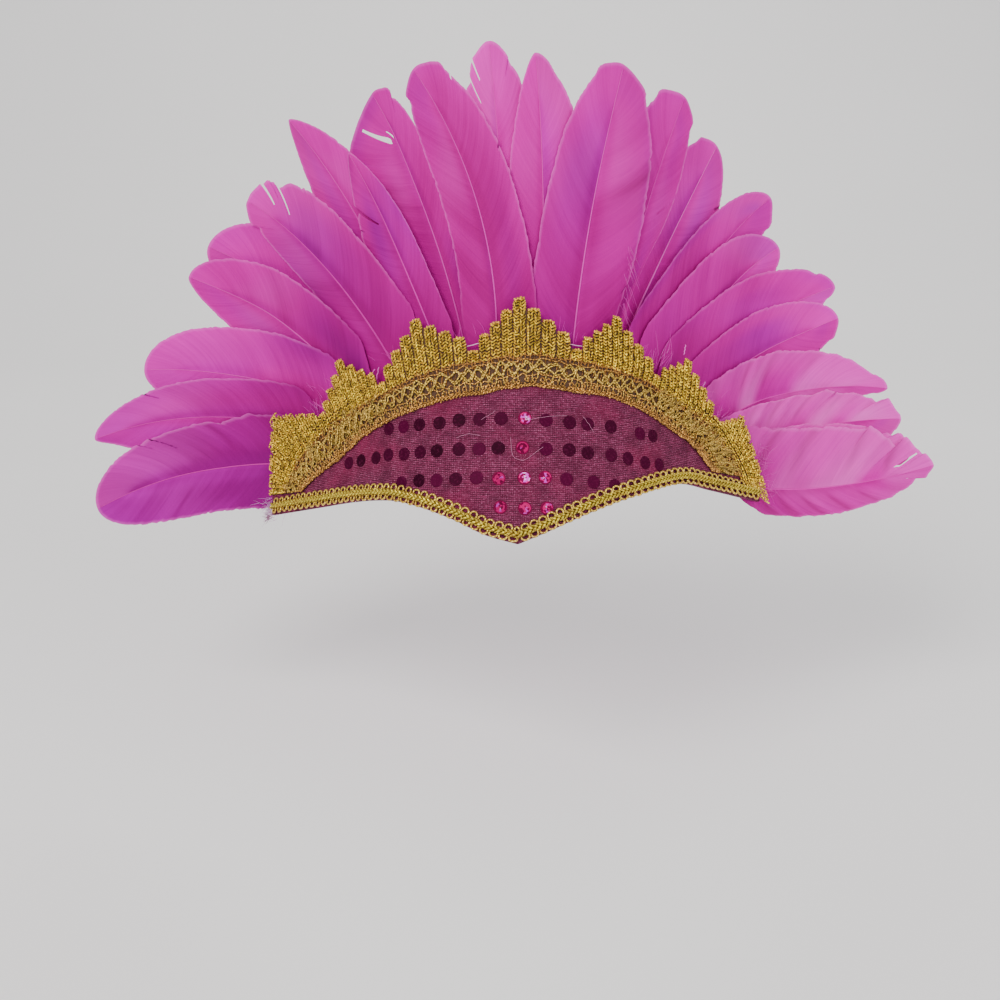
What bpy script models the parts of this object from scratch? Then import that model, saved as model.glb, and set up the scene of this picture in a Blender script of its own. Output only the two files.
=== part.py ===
"""Carnival feather headdress: a bent board covered in woven fabric with a gold lace crown, a gold gimp braid
along its lower edge, a fan of goose feathers behind it and an elastic band that goes round a head.

Units are metres. +X is to the viewer's right, +Y goes back from the front of the headdress, +Z is up. The
origin is where the middle of the board's back rests on a forehead.

The board, lace, braid and feathers are laid out on one flat chart and then bent. A place on the chart has
  along: the way along the bend from the middle, positive to the right,
  up:    the height above the V tip, measured in the board's own slope,
  out:   the distance in front of the board's front face, negative behind it.
"""

import math

import bmesh
import bpy
import numpy as np

# Bend and stance
BEND_RADIUS = 0.105  # front face of the board round the forehead
BEND_ANGLE = math.radians(43)  # heading of the straight legs past the bend
WING_ANGLE = math.radians(18)  # heading that the outer feathers ease to
WING_EASE = 0.060  # length over which they ease
LEAN_BACK = math.radians(26)  # slope of the worn board
FEATHER_RECOVERY = 0.45  # how fast the fan straightens up above the board, per metre
CHART_REACH = 0.400  # how far the chart goes each way

# Front panel
BOARD_REACH = 0.160  # from the middle to each end, along the bend
BOARD_THICKNESS = 0.0022
BROW_RISE = 0.0355  # V tip to the highest point of the lower edge
CROWN_HEIGHT = 0.094  # V tip to the top of the board
SEAT_HEIGHT = 0.040  # V tip to the place that rests on the forehead
BOARD_COLUMNS = 44
BOARD_ROWS = 3

# Hem braid
BRAID_WIDTH = 0.0085
BRAID_EDGE = 0.0016  # thickness along its two edges
BRAID_CROWN = 0.0008  # how much thicker its middle is
BRAID_INSET = 0.0008  # board that shows below it
BRAID_END_GAP = 0.0010  # board that shows past its ends

# Crown lace
FABRIC_HEIGHT = 0.065  # bare fabric between braid and lace at the middle
LACE_THICKNESS = 0.0012
LACE_BAND = 0.0215  # foot of the lace to its valleys
PEAK_RISE = 0.0235  # valleys to a peak
FINGER_NOTCH = 0.0010  # dip between two fingers
FINGERS_PER_REPEAT = 8

# Feathers
FEATHER_LENGTH = 0.180
VANE_WIDTH = 0.022  # quill to the edge of the vane
VANE_THICKNESS = 0.0010
VANE_EDGE = 0.0006
QUILL_RADIUS = 0.0013  # at the foot
QUILL_TAPER = 0.60  # share of the radius lost by the tip
TIP_HALF_WIDTH = 0.0008
FEATHER_STATIONS = 14
SHINGLE = 0.10  # sideways slope that lets each feather lie over the next

# Elastic band
ELASTIC_WIDTH = 0.0080
ELASTIC_THICKNESS = 0.0010
ELASTIC_SEWN = 0.012  # length sewn flat to the back of the board
ELASTIC_FOOT = 0.090  # middle of the board to the start of the sewn end
ELASTIC_LIFT = 0.0012  # lower edge of the board to the lower edge of the elastic
ELASTIC_FOLD = 0.005  # radius of the fold where it leaves the board
ELASTIC_LEAVING = math.radians(95)  # its heading past the fold
ELASTIC_CLIMB = 0.030  # height it gains by the back of the head
HEAD_DEPTH = 0.190  # forehead to the back of the head
ELASTIC_STEPS = 40

CLEARANCE = 0.0003  # between pieces that touch
LAYER_GAP = 0.0005  # between feathers that lie on each other

# Lower edge of the board. along: share of BOARD_REACH; left and right: height as a share of BROW_RISE
LOWER_EDGE = (
    # along, left, right
    (0.00, 0.000, 0.000),
    (0.10, 0.130, 0.190),
    (0.20, 0.350, 0.400),
    (0.30, 0.530, 0.590),
    (0.40, 0.660, 0.750),
    (0.50, 0.715, 0.895),
    (0.60, 0.735, 1.000),
    (0.75, 0.730, 0.980),
    (1.00, 0.720, 0.925),
)

# Upper edge of the board, which the lace hides. left and right: height as a share of CROWN_HEIGHT
UPPER_EDGE = (
    # along, left, right
    (0.00, 1.000, 1.000),
    (0.20, 0.975, 0.990),
    (0.30, 0.945, 0.970),
    (0.45, 0.880, 0.920),
    (0.60, 0.810, 0.835),
    (0.75, 0.725, 0.740),
    (0.90, 0.650, 0.630),
    (1.00, 0.590, 0.470),
)

# The lace strip, by its repeat: whole numbers are peaks, halves are the valleys between them and the two ends.
#   foot_along: share of BOARD_REACH; foot_rise: share of FABRIC_HEIGHT above the braid
#   lean: degrees from upright, to the right; band: share of LACE_BAND
#   peak_lean: degrees from upright; peak: share of PEAK_RISE
LACE = (
    # repeat, foot_along, foot_rise, lean, band, peak_lean, peak
    (-3.5, -0.840, 0.000, -88, 0.88, -88, 0.30),
    (-3.0, -0.760, 0.100, -46, 1.12, -46, 1.28),
    (-2.5, -0.650, 0.200, -30, 1.25, -36, 0.00),
    (-2.0, -0.540, 0.340, -23, 1.06, -26, 1.07),
    (-1.5, -0.410, 0.470, -21, 0.98, -18, 0.00),
    (-1.0, -0.280, 0.630, -10, 1.04, -10, 0.96),
    (-0.5, -0.130, 0.845, -2, 1.04, -5, 0.00),
    (0.0, 0.005, 1.000, 0, 1.00, 0, 0.99),
    (0.5, 0.170, 0.795, 5, 1.01, 0, 0.00),
    (1.0, 0.300, 0.640, 8, 0.94, 0, 0.92),
    (1.5, 0.430, 0.450, 21, 1.02, 5, 0.00),
    (2.0, 0.540, 0.280, 31, 1.04, 9, 0.85),
    (2.5, 0.640, 0.160, 51, 1.22, 20, 0.00),
    (3.0, 0.700, 0.065, 64, 1.26, 29, 0.83),
    (3.5, 0.740, 0.000, 91, 1.48, 91, 0.58),
)

# Height of the fingers of a pyramid, from its peak to its valley, as a share of the peak
FINGER_STEPS = (1.00, 0.74, 0.52, 0.32, 0.00)

# Rows of the lace from foot to valley, as shares of the band: heading, plait, cord and bars
LACE_ROWS = (0.00, 0.10, 0.46, 0.56, 0.92)
PIERCED_ROWS = (1, 3)  # the plait and the bars are openwork

# The feathers.
#   foot: share of BOARD_REACH; height: share of the board's height there
#   heading: degrees from upright, to the right; bow: degrees turned to the right from foot to tip
#   length: share of FEATHER_LENGTH; left, right: share of VANE_WIDTH
#   left_tip, right_tip: 1 for a round end of that vane, 0 for a pointed one
#   tilt: share of SHINGLE, positive where the left edge comes forward
FEATHERS = (
    # name, foot, height, heading, bow, length, left, right, left_tip, right_tip, tilt
    ("feather_left_01", -0.725, 0.37, -92, -46, 0.95, 1.09, 1.23, 1.0, 1.0, -1.0),
    ("feather_left_02", -0.725, 0.70, -83, -47, 0.98, 1.00, 1.00, 0.3, 0.6, -1.0),
    ("feather_left_03", -0.613, 0.73, -71, -35, 0.94, 1.05, 1.23, 0.9, 1.0, -1.0),
    ("feather_left_04", -0.525, 0.79, -55, -24, 0.98, 1.00, 1.09, 0.4, 0.9, -1.0),
    ("feather_left_05", -0.425, 0.77, -52, -20, 1.06, 1.00, 1.32, 0.9, 1.0, -1.0),
    ("feather_left_06", -0.338, 0.77, -45, -24, 1.07, 0.73, 1.18, 0.9, 1.0, -0.5),
    ("feather_left_07", -0.275, 0.78, -34, -22, 1.17, 0.95, 0.95, 0.2, 0.2, 0.0),
    ("feather_left_08", -0.212, 0.80, -28, -17, 0.87, 0.91, 0.55, 0.2, 0.2, 0.0),
    ("feather_left_09", -0.150, 0.80, -23, -25, 1.02, 1.77, 0.73, 1.0, 0.9, 0.0),
    ("feather_left_10", -0.075, 0.78, -15, -43, 1.00, 0.82, 0.95, 1.0, 0.9, 0.0),
    ("feather_centre_01", 0.000, 0.81, -5, -2, 0.99, 1.05, 1.09, 0.7, 0.6, 0.0),
    ("feather_centre_02", 0.062, 0.82, 0, -11, 0.94, 0.86, 1.23, 0.35, 0.5, 0.0),
    ("feather_centre_03", 0.163, 0.735, 11, 13, 0.99, 1.14, 1.50, 0.8, 1.0, -0.5),
    ("feather_right_01", 0.237, 0.76, 23, 7, 1.03, 1.23, 0.77, 0.8, 0.9, -1.0),
    ("feather_right_02", 0.312, 0.79, 32, 5, 1.01, 1.05, 1.18, 0.9, 0.9, 0.0),
    ("feather_right_03", 0.375, 0.77, 43, 13, 1.04, 0.86, 0.95, 0.75, 0.8, 1.0),
    ("feather_right_04", 0.450, 0.745, 47, 12, 0.91, 1.09, 0.91, 0.8, 0.8, 1.0),
    ("feather_right_05", 0.537, 0.745, 56, 22, 0.95, 1.09, 0.82, 0.8, 0.5, 1.0),
    ("feather_right_06", 0.637, 0.695, 57, 19, 0.84, 1.00, 0.86, 0.9, 0.7, 1.0),
    ("feather_right_07", 0.713, 0.51, 70, 45, 0.88, 1.05, 0.82, 0.6, 0.2, 1.0),
    ("feather_right_08", 0.725, 0.30, 74, 24, 0.88, 0.82, 0.73, 0.9, 0.8, 1.0),
    ("feather_right_09", 0.738, 0.20, 80, 15, 0.87, 0.82, 0.73, 0.9, 0.7, 1.0),
    ("feather_right_10", 0.750, 0.21, 83, -22, 0.93, 1.50, 0.68, 0.5, 0.4, 1.0),
)

# Feathers from the front of the fan to its back: each lies behind those before it
LAYING_ORDER = (
    "feather_left_01", "feather_left_02", "feather_left_03", "feather_left_04",
    "feather_left_06", "feather_left_08", "feather_left_10",
    "feather_centre_03", "feather_left_05", "feather_left_07",
    "feather_centre_02", "feather_centre_01", "feather_left_09",
    "feather_right_01", "feather_right_10", "feather_right_09", "feather_right_08",
    "feather_right_07", "feather_right_06", "feather_right_05", "feather_right_04",
    "feather_right_03", "feather_right_02",
)

# Colour, roughness and metallic value of each material
FINISHES = {
    "woven_fabric": ((0.150, 0.022, 0.100, 1), 0.85, 0.0),
    "gold_lace": ((0.480, 0.300, 0.030, 1), 0.40, 0.6),
    "gold_braid": ((0.520, 0.330, 0.050, 1), 0.38, 0.6),
    "dyed_feather": ((0.580, 0.040, 0.350, 1), 0.55, 0.0),
    "elastic": ((0.020, 0.020, 0.020, 1), 0.80, 0.0),
}


# Curves through the tables


def smooth_curve(x, knots, values):
    """A cubic curve through the values at the knots, read at x."""
    knots = np.asarray(knots, float)
    values = np.asarray(values, float)
    slopes = np.gradient(values, knots)
    span = np.clip(np.searchsorted(knots, x, side="right") - 1, 0, len(knots) - 2)
    width = knots[span + 1] - knots[span]
    t = np.clip((x - knots[span]) / width, 0, 1)
    start = (1 + 2 * t) * (1 - t) ** 2 * values[span] + t * (1 - t) ** 2 * width * slopes[span]
    end = t**2 * (3 - 2 * t) * values[span + 1] - t**2 * (1 - t) * width * slopes[span + 1]
    return start + end


def edge_height(table, along, scale):
    """Height of an edge of the board, whose table has a column for each side."""
    rows = np.array(table)
    share = np.minimum(np.abs(along) / BOARD_REACH, 1)
    left = smooth_curve(share, rows[:, 0], rows[:, 1])
    right = smooth_curve(share, rows[:, 0], rows[:, 2])
    return scale * np.where(np.asarray(along) < 0, left, right)


def lower_edge(along):
    return edge_height(LOWER_EDGE, along, BROW_RISE)


def upper_edge(along):
    return edge_height(UPPER_EDGE, along, CROWN_HEIGHT)


def braid_width_up(along):
    """Width of the braid measured straight up, wider where the edge slopes."""
    step = BOARD_REACH / 200
    side = np.where(np.asarray(along) < 0, -1, 1)
    outward = along + side * step
    slope = (lower_edge(outward) - lower_edge(along)) / step
    return BRAID_WIDTH * np.sqrt(1 + slope**2)


def braid_top(along):
    return lower_edge(along) + BRAID_INSET + braid_width_up(along)


# The bend


def plan_curve():
    """Ways along the bend with their heading, and the x and y of the front face there."""
    along = np.linspace(0, CHART_REACH, 2001)
    eased = np.clip((along - BOARD_REACH) / WING_EASE, 0, 1)
    eased = eased**2 * (3 - 2 * eased)
    heading = np.minimum(along / BEND_RADIUS, BEND_ANGLE)
    heading = heading + (WING_ANGLE - BEND_ANGLE) * eased
    middle = (heading[1:] + heading[:-1]) / 2
    step = np.diff(along)
    x = np.concatenate([[0], np.cumsum(np.cos(middle) * step)])
    y = np.concatenate([[0], np.cumsum(np.sin(middle) * step)])
    return along, heading, x, y


PLAN = plan_curve()


def plan_place(along, out):
    """x and y in the slope of the board."""
    way = np.abs(along)
    heading = np.interp(way, PLAN[0], PLAN[1])
    x = np.interp(way, PLAN[0], PLAN[2]) + out * np.sin(heading)
    y = np.interp(way, PLAN[0], PLAN[3]) - out * np.cos(heading)
    return np.sign(along) * x, y


def stand_up(x, y, up):
    """From the slope of the board to the world, with the seat at the origin."""
    y = y - BOARD_THICKNESS
    up = up - SEAT_HEIGHT
    world_y = y * math.cos(LEAN_BACK) + up * math.sin(LEAN_BACK)
    world_z = up * math.cos(LEAN_BACK) - y * math.sin(LEAN_BACK)
    return np.stack(np.broadcast_arrays(x, world_y, world_z), axis=-1)


def place(along, up, out):
    """World position of a place on the chart."""
    along, up, out = np.broadcast_arrays(np.asarray(along, float), up, out)
    x, y = plan_place(along, out)
    y = y - FEATHER_RECOVERY * np.maximum(0, up - CROWN_HEIGHT) ** 2
    return stand_up(x, y, up)


# Objects


def clear_scene():
    for obj in list(bpy.data.objects):
        bpy.data.objects.remove(obj, do_unlink=True)


def make_finish(name):
    colour, roughness, metallic = FINISHES[name]
    material = bpy.data.materials.new(name)
    material.use_nodes = True
    shader = material.node_tree.nodes["Principled BSDF"]
    shader.inputs["Base Color"].default_value = colour
    shader.inputs["Roughness"].default_value = roughness
    shader.inputs["Metallic"].default_value = metallic
    return material


def finish_object(name, bm, collection, material):
    mesh = bpy.data.meshes.new(name)
    bm.to_mesh(mesh)
    bm.free()
    mesh.materials.append(material)
    mesh.shade_smooth()
    mesh.set_sharp_from_angle(angle=math.radians(40))
    obj = bpy.data.objects.new(name, mesh)
    collection.objects.link(obj)
    return obj


def sheet(name, columns, rows, where, thickness, collection, material, holes=()):
    """An open grid laid out by where(column, row), thickened backwards from its front face."""
    bm = bmesh.new()
    bmesh.ops.create_grid(bm, x_segments=columns, y_segments=rows, size=1)
    cells = {}
    for face in bm.faces:
        middle = face.calc_center_median()
        column = int((middle.x + 1) / 2 * columns)
        row = int((middle.y + 1) / 2 * rows)
        cells[column, row] = face
    bmesh.ops.delete(bm, geom=[cells[hole] for hole in holes], context="FACES")
    for vert in bm.verts:
        column = round((vert.co.x + 1) / 2 * columns)
        row = round((vert.co.y + 1) / 2 * rows)
        vert.co = where(column, row)
    obj = finish_object(name, bm, collection, material)
    solidify = obj.modifiers.new("thickness", "SOLIDIFY")
    solidify.thickness = thickness
    solidify.offset = -1
    return obj


def loft(name, sections, collection, material):
    """A closed solid through rings of points, all with the same number of points."""
    bm = bmesh.new()
    rings = [[bm.verts.new(point) for point in section] for section in sections]
    count = len(rings[0])
    for ring, following in zip(rings, rings[1:]):
        for i in range(count):
            j = (i + 1) % count
            bm.faces.new((ring[i], ring[j], following[j], following[i]))
    bm.faces.new(reversed(rings[0]))
    bm.faces.new(rings[-1])
    bmesh.ops.recalc_face_normals(bm, faces=bm.faces)
    return finish_object(name, bm, collection, material)


# Front panel and braid


def make_front_panel(collection, material):
    def where(column, row):
        along = BOARD_REACH * (2 * column / BOARD_COLUMNS - 1)
        low = lower_edge(along)
        up = low + (upper_edge(along) - low) * row / BOARD_ROWS
        return place(along, up, 0)

    return sheet("front_panel", BOARD_COLUMNS, BOARD_ROWS, where, BOARD_THICKNESS, collection, material)


def make_hem_braid(collection, material):
    across = np.array([0, 0, 0.25, 0.5, 0.75, 1, 1])
    raised = BRAID_EDGE + BRAID_CROWN * np.sin(math.pi * across)
    raised[[0, -1]] = 0
    ends = BOARD_REACH - BRAID_END_GAP
    sections = []
    for along in np.linspace(-ends, ends, BOARD_COLUMNS + 1):
        up = lower_edge(along) + BRAID_INSET + braid_width_up(along) * across
        sections.append(place(along, up, CLEARANCE + raised))
    return loft("hem_braid", sections, collection, material)


# Crown lace


def lace_column(repeat):
    """Foot, valley line and top of the lace at this repeat, on the chart."""
    rows = np.array(LACE)
    knots = rows[:, 0]
    foot_along, foot_rise, lean, band, peak_lean = (
        smooth_curve(repeat, knots, rows[:, i]) for i in range(1, 6)
    )
    foot = np.array([foot_along * BOARD_REACH, 0])
    foot[1] = braid_top(foot[0]) + CLEARANCE + foot_rise * FABRIC_HEIGHT
    lean, peak_lean = math.radians(lean), math.radians(peak_lean)
    valley = foot + band * LACE_BAND * np.array([math.sin(lean), math.cos(lean)])
    rise = finger_rise(repeat, knots, rows[:, 6])
    top = valley + rise * np.array([math.sin(peak_lean), math.cos(peak_lean)])
    return foot, valley, top


def finger_rise(repeat, knots, peaks):
    """Height of the lace above its valley line. Between two fingers it dips below the lower one."""
    finger = repeat * FINGERS_PER_REPEAT

    def height(whole):
        place_in_lace = min(max(whole / FINGERS_PER_REPEAT, knots[0]), knots[-1])
        peak = math.floor(abs(place_in_lace) + 0.499) * math.copysign(1, place_in_lace)
        from_peak = abs(place_in_lace - peak) * FINGERS_PER_REPEAT
        valley = peak + math.copysign(0.5, place_in_lace - peak)
        low = np.interp(valley, knots, peaks)
        high = np.interp(peak, knots, peaks)
        step = np.interp(from_peak, range(len(FINGER_STEPS)), FINGER_STEPS)
        return PEAK_RISE * (low + (high - low) * step)

    if abs(finger - round(finger)) < 0.25:
        return height(round(finger))
    return min(height(math.floor(finger)), height(math.ceil(finger))) - FINGER_NOTCH


def make_crown_lace(collection, material):
    first, last = LACE[0][0], LACE[-1][0]
    columns = round((last - first) * FINGERS_PER_REPEAT * 2)
    rows = len(LACE_ROWS)

    def where(column, row):
        foot, valley, top = lace_column(first + (last - first) * column / columns)
        if row < len(LACE_ROWS):
            along, up = foot + (valley - foot) * LACE_ROWS[row]
        else:
            along, up = top
        return place(along, up, CLEARANCE + LACE_THICKNESS)

    holes = [(column, row) for row in PIERCED_ROWS for column in range(1, columns, 2)]
    return sheet("crown_lace", columns, rows, where, LACE_THICKNESS, collection, material, holes)


# Feathers


class Feather:
    """One feather laid flat on the chart. Its stations s run from 0 at the foot to 1 at the tip."""

    def __init__(self, row):
        (self.name, foot, height, heading, bow, length, left, right, left_tip, right_tip, tilt) = row
        along = foot * BOARD_REACH
        low = lower_edge(along)
        self.foot = np.array([along, low + height * (upper_edge(along) - low)])
        self.start = math.radians(heading - bow / 2)
        self.turn = math.radians(bow)
        self.length = length * FEATHER_LENGTH
        self.vanes = (left * VANE_WIDTH, right * VANE_WIDTH)
        self.tips = (left_tip, right_tip)
        self.tilt = tilt * SHINGLE
        self.depth = 0.0

    def quill(self, s):
        """Places of the quill and the directions along it and to its left."""
        angle = self.start + self.turn * s
        along = (math.cos(self.start) - np.cos(angle)) / self.turn
        up = (np.sin(angle) - math.sin(self.start)) / self.turn
        places = self.foot + self.length * np.stack([along, up], axis=-1)
        forward = np.stack([np.sin(angle), np.cos(angle)], axis=-1)
        left = np.stack([-np.cos(angle), np.sin(angle)], axis=-1)
        return places, forward, left

    def half_widths(self, s):
        """Width of the left and right vane: bare quill, a quick swell, and an end that is round or pointed."""
        swell = np.clip((s - 0.05) / 0.25, 0, 1)
        swell = swell**2 * (3 - 2 * swell)
        ended = np.clip((s - 0.55) / 0.45, 0, 1)
        widths = []
        for vane, roundness in zip(self.vanes, self.tips):
            end = roundness * np.sqrt(1 - ended**3) + (1 - roundness) * (1 - ended**1.7)
            widths.append(np.maximum(vane * swell * end, self.least_width(s)))
        return widths

    def least_width(self, s):
        return np.maximum(self.quill_radius(s) * (s < 0.5), TIP_HALF_WIDTH)

    def quill_radius(self, s):
        return QUILL_RADIUS * (1 - QUILL_TAPER * s)

    def half_thickness(self, s, across):
        """Half the thickness at a distance from the quill: the quill's, easing into the vane's."""
        radius = self.quill_radius(s)
        near = np.clip(1 - np.abs(across) / (2.5 * radius), 0, 1)
        return VANE_THICKNESS / 2 + np.maximum(0, radius - VANE_THICKNESS / 2) * near

    def samples(self):
        """Places all over the feather, with the station and the distance from the quill of each."""
        s = np.linspace(0, 1, 60)
        places, _, left = self.quill(s)
        widths = self.half_widths(s)
        shares = np.linspace(-1, 1, 15)
        across = np.where(shares > 0, widths[0][:, None] * shares, widths[1][:, None] * shares)
        spots = places[:, None] + left[:, None] * across[..., None]
        stations = np.broadcast_to(s[:, None], across.shape)
        return spots.reshape(-1, 2), stations.ravel(), across.ravel()

    def read(self, spots, margin):
        """Which spots this feather covers, and the station and distance from the quill of each."""
        s = np.linspace(0, 1, 121)
        places, forward, left = self.quill(s)
        nearest = ((spots[:, None] - places) ** 2).sum(axis=-1).argmin(axis=1)
        apart = spots - places[nearest]
        across = (apart * left[nearest]).sum(axis=-1)
        past = np.abs((apart * forward[nearest]).sum(axis=-1))
        widths = self.half_widths(s)
        covered = (across < widths[0][nearest] + margin) & (across > -widths[1][nearest] - margin)
        return covered & (past < self.length / 100), s[nearest], across

    def least_depth(self):
        """Depth that keeps the feather clear of the back of the board."""
        spots, s, across = self.samples()
        over = np.abs(spots[:, 0]) < BOARD_REACH
        over &= spots[:, 1] < upper_edge(spots[:, 0]) + LAYER_GAP
        front = self.half_thickness(s, across) + self.tilt * across
        return BOARD_THICKNESS + CLEARANCE + front[over].max()

    def depth_behind(self, other):
        """Depth that keeps this feather clear of another that lies over it."""
        spots, s, across = self.samples()
        covered, other_s, other_across = other.read(spots, margin=LAYER_GAP * 2)
        if not covered.any():
            return 0.0
        apart = self.half_thickness(s, across) + other.half_thickness(other_s, other_across) + LAYER_GAP
        rise = self.tilt * across - other.tilt * other_across
        return other.depth + (apart + rise)[covered].max()

    def sections(self):
        """Ten-sided rings from foot to tip: edge, vane, quill, vane, edge on the front and on the back."""
        s = np.sin(np.linspace(0, math.pi / 2, FEATHER_STATIONS))
        places, _, left = self.quill(s)
        left_width, right_width = self.half_widths(s)
        shares = np.array([1, 0.5, 0, -0.5, -1])
        across = np.where(shares > 0, left_width[:, None] * shares, right_width[:, None] * shares)
        half = self.half_thickness(s[:, None], across)
        half[:, [0, -1]] = VANE_EDGE / 2
        spots = places[:, None] + left[:, None] * across[..., None]
        middle = self.tilt * across - self.depth
        front = place(spots[..., 0], spots[..., 1], middle + half)
        back = place(spots[..., 0], spots[..., 1], middle - half)
        return np.concatenate([front, back[:, ::-1]], axis=1)


def lay_feathers():
    """The feathers with their depths: each lies against the board or the feathers over it."""
    feathers = {row[0]: Feather(row) for row in FEATHERS}
    laid = []
    for name in LAYING_ORDER:
        feather = feathers[name]
        behind = [feather.depth_behind(other) for other in laid]
        feather.depth = max([feather.least_depth(), *behind])
        laid.append(feather)
    return laid


# Elastic band


def elastic_route():
    """Plan of the elastic in the board's slope: sewn to the board, folded, then round the back of the head."""
    out = -(BOARD_THICKNESS + CLEARANCE)
    sewn = np.linspace(ELASTIC_FOOT, ELASTIC_FOOT + ELASTIC_SEWN, 4)
    x, y = plan_place(sewn, out)
    points = list(zip(x, y))
    across = np.array([-math.sin(BEND_ANGLE), math.cos(BEND_ANGLE)])
    centre = np.array(points[-1]) + ELASTIC_FOLD * across
    for heading in np.linspace(BEND_ANGLE, ELASTIC_LEAVING, 5)[1:]:
        angle = heading - math.pi / 2
        points.append(centre + ELASTIC_FOLD * np.array([math.cos(angle), math.sin(angle)]))
    start = np.array(points[-1])
    middle = BOARD_THICKNESS + HEAD_DEPTH - start[1]
    for turn in np.linspace(0, math.pi / 2, ELASTIC_STEPS // 2 + 1)[1:]:
        points.append(np.array([start[0] * math.cos(turn), start[1] + middle * math.sin(turn)]))
    right = np.array(points)
    left = right[-2::-1] * np.array([-1, 1])
    return np.concatenate([right, left])


def make_elastic_band(collection, material):
    route = elastic_route()
    steps = np.hypot(*np.diff(route, axis=0).T)
    way = np.concatenate([[0], np.cumsum(steps)]) / steps.sum()
    sewn = np.linspace(ELASTIC_FOOT, ELASTIC_FOOT + ELASTIC_SEWN, 9)
    edge = max(lower_edge(sewn).max(), lower_edge(-sewn).max())
    low = edge + ELASTIC_LIFT + ELASTIC_CLIMB * np.sin(math.pi * way)

    def where(column, row):
        x, y = route[column]
        return stand_up(x, y, low[column] + ELASTIC_WIDTH * row)

    return sheet("elastic_band", len(route) - 1, 1, where, ELASTIC_THICKNESS, collection, material)


def main():
    clear_scene()
    collection = bpy.data.collections.new("carnival_feather_headdress")
    bpy.context.scene.collection.children.link(collection)
    finishes = {name: make_finish(name) for name in FINISHES}
    make_front_panel(collection, finishes["woven_fabric"])
    make_hem_braid(collection, finishes["gold_braid"])
    make_crown_lace(collection, finishes["gold_lace"])
    make_elastic_band(collection, finishes["elastic"])
    for feather in lay_feathers():
        loft(feather.name, feather.sections(), collection, finishes["dyed_feather"])


main()
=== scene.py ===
"""Carnival feather headdress: the detailed scene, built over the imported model.

Units are metres in the model's frame. A place on the chart is (along, up, out): along the bend from
the middle, up the board's slope from the V tip, and out in front of the board's front face.
"""

import math

import bpy
import numpy as np
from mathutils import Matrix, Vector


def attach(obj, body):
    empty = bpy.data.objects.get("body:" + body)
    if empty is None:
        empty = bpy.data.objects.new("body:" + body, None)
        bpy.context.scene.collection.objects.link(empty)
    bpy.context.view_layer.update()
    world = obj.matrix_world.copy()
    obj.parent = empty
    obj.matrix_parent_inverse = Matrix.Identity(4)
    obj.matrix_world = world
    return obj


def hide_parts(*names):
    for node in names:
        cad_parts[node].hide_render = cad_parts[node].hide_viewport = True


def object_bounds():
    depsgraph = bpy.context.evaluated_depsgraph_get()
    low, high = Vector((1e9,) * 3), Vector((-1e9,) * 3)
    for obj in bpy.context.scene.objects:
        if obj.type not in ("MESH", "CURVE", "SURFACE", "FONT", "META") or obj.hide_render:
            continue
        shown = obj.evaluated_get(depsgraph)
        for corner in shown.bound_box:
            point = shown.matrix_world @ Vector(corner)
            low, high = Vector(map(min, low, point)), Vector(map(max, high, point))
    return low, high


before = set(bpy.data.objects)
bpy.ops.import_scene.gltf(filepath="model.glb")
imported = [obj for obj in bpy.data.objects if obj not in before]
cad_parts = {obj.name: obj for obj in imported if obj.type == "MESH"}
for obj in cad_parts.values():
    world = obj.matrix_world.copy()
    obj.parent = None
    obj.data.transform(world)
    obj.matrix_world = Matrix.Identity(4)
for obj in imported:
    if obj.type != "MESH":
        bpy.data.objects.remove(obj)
cad_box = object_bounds()

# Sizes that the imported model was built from
BEND_RADIUS = 0.105
BEND_ANGLE = math.radians(43)
WING_ANGLE = math.radians(18)
WING_EASE = 0.060
LEAN_BACK = math.radians(26)
FEATHER_RECOVERY = 0.45
CHART_REACH = 0.400
BOARD_REACH = 0.160
BOARD_THICKNESS = 0.0022
BROW_RISE = 0.0355
CROWN_HEIGHT = 0.094
SEAT_HEIGHT = 0.040
BRAID_WIDTH = 0.0085
BRAID_INSET = 0.0008
BRAID_END_GAP = 0.0010
FABRIC_HEIGHT = 0.065
LACE_BAND = 0.0215
PEAK_RISE = 0.0235
FINGERS_PER_REPEAT = 8
FEATHER_LENGTH = 0.180
VANE_WIDTH = 0.022
SHINGLE = 0.10
ELASTIC_WIDTH = 0.0080
ELASTIC_THICKNESS = 0.0010
ELASTIC_SEWN = 0.012
ELASTIC_FOOT = 0.090
ELASTIC_LIFT = 0.0012
ELASTIC_FOLD = 0.005
ELASTIC_LEAVING = math.radians(95)
ELASTIC_CLIMB = 0.030
HEAD_DEPTH = 0.190
CLEARANCE = 0.0003

LOWER_EDGE = np.array((
    # along, left, right
    (0.00, 0.000, 0.000),
    (0.10, 0.130, 0.190),
    (0.20, 0.350, 0.400),
    (0.30, 0.530, 0.590),
    (0.40, 0.660, 0.750),
    (0.50, 0.715, 0.895),
    (0.60, 0.735, 1.000),
    (0.75, 0.730, 0.980),
    (1.00, 0.720, 0.925),
))

UPPER_EDGE = np.array((
    # along, left, right
    (0.00, 1.000, 1.000),
    (0.20, 0.975, 0.990),
    (0.30, 0.945, 0.970),
    (0.45, 0.880, 0.920),
    (0.60, 0.810, 0.835),
    (0.75, 0.725, 0.740),
    (0.90, 0.650, 0.630),
    (1.00, 0.590, 0.470),
))

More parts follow.
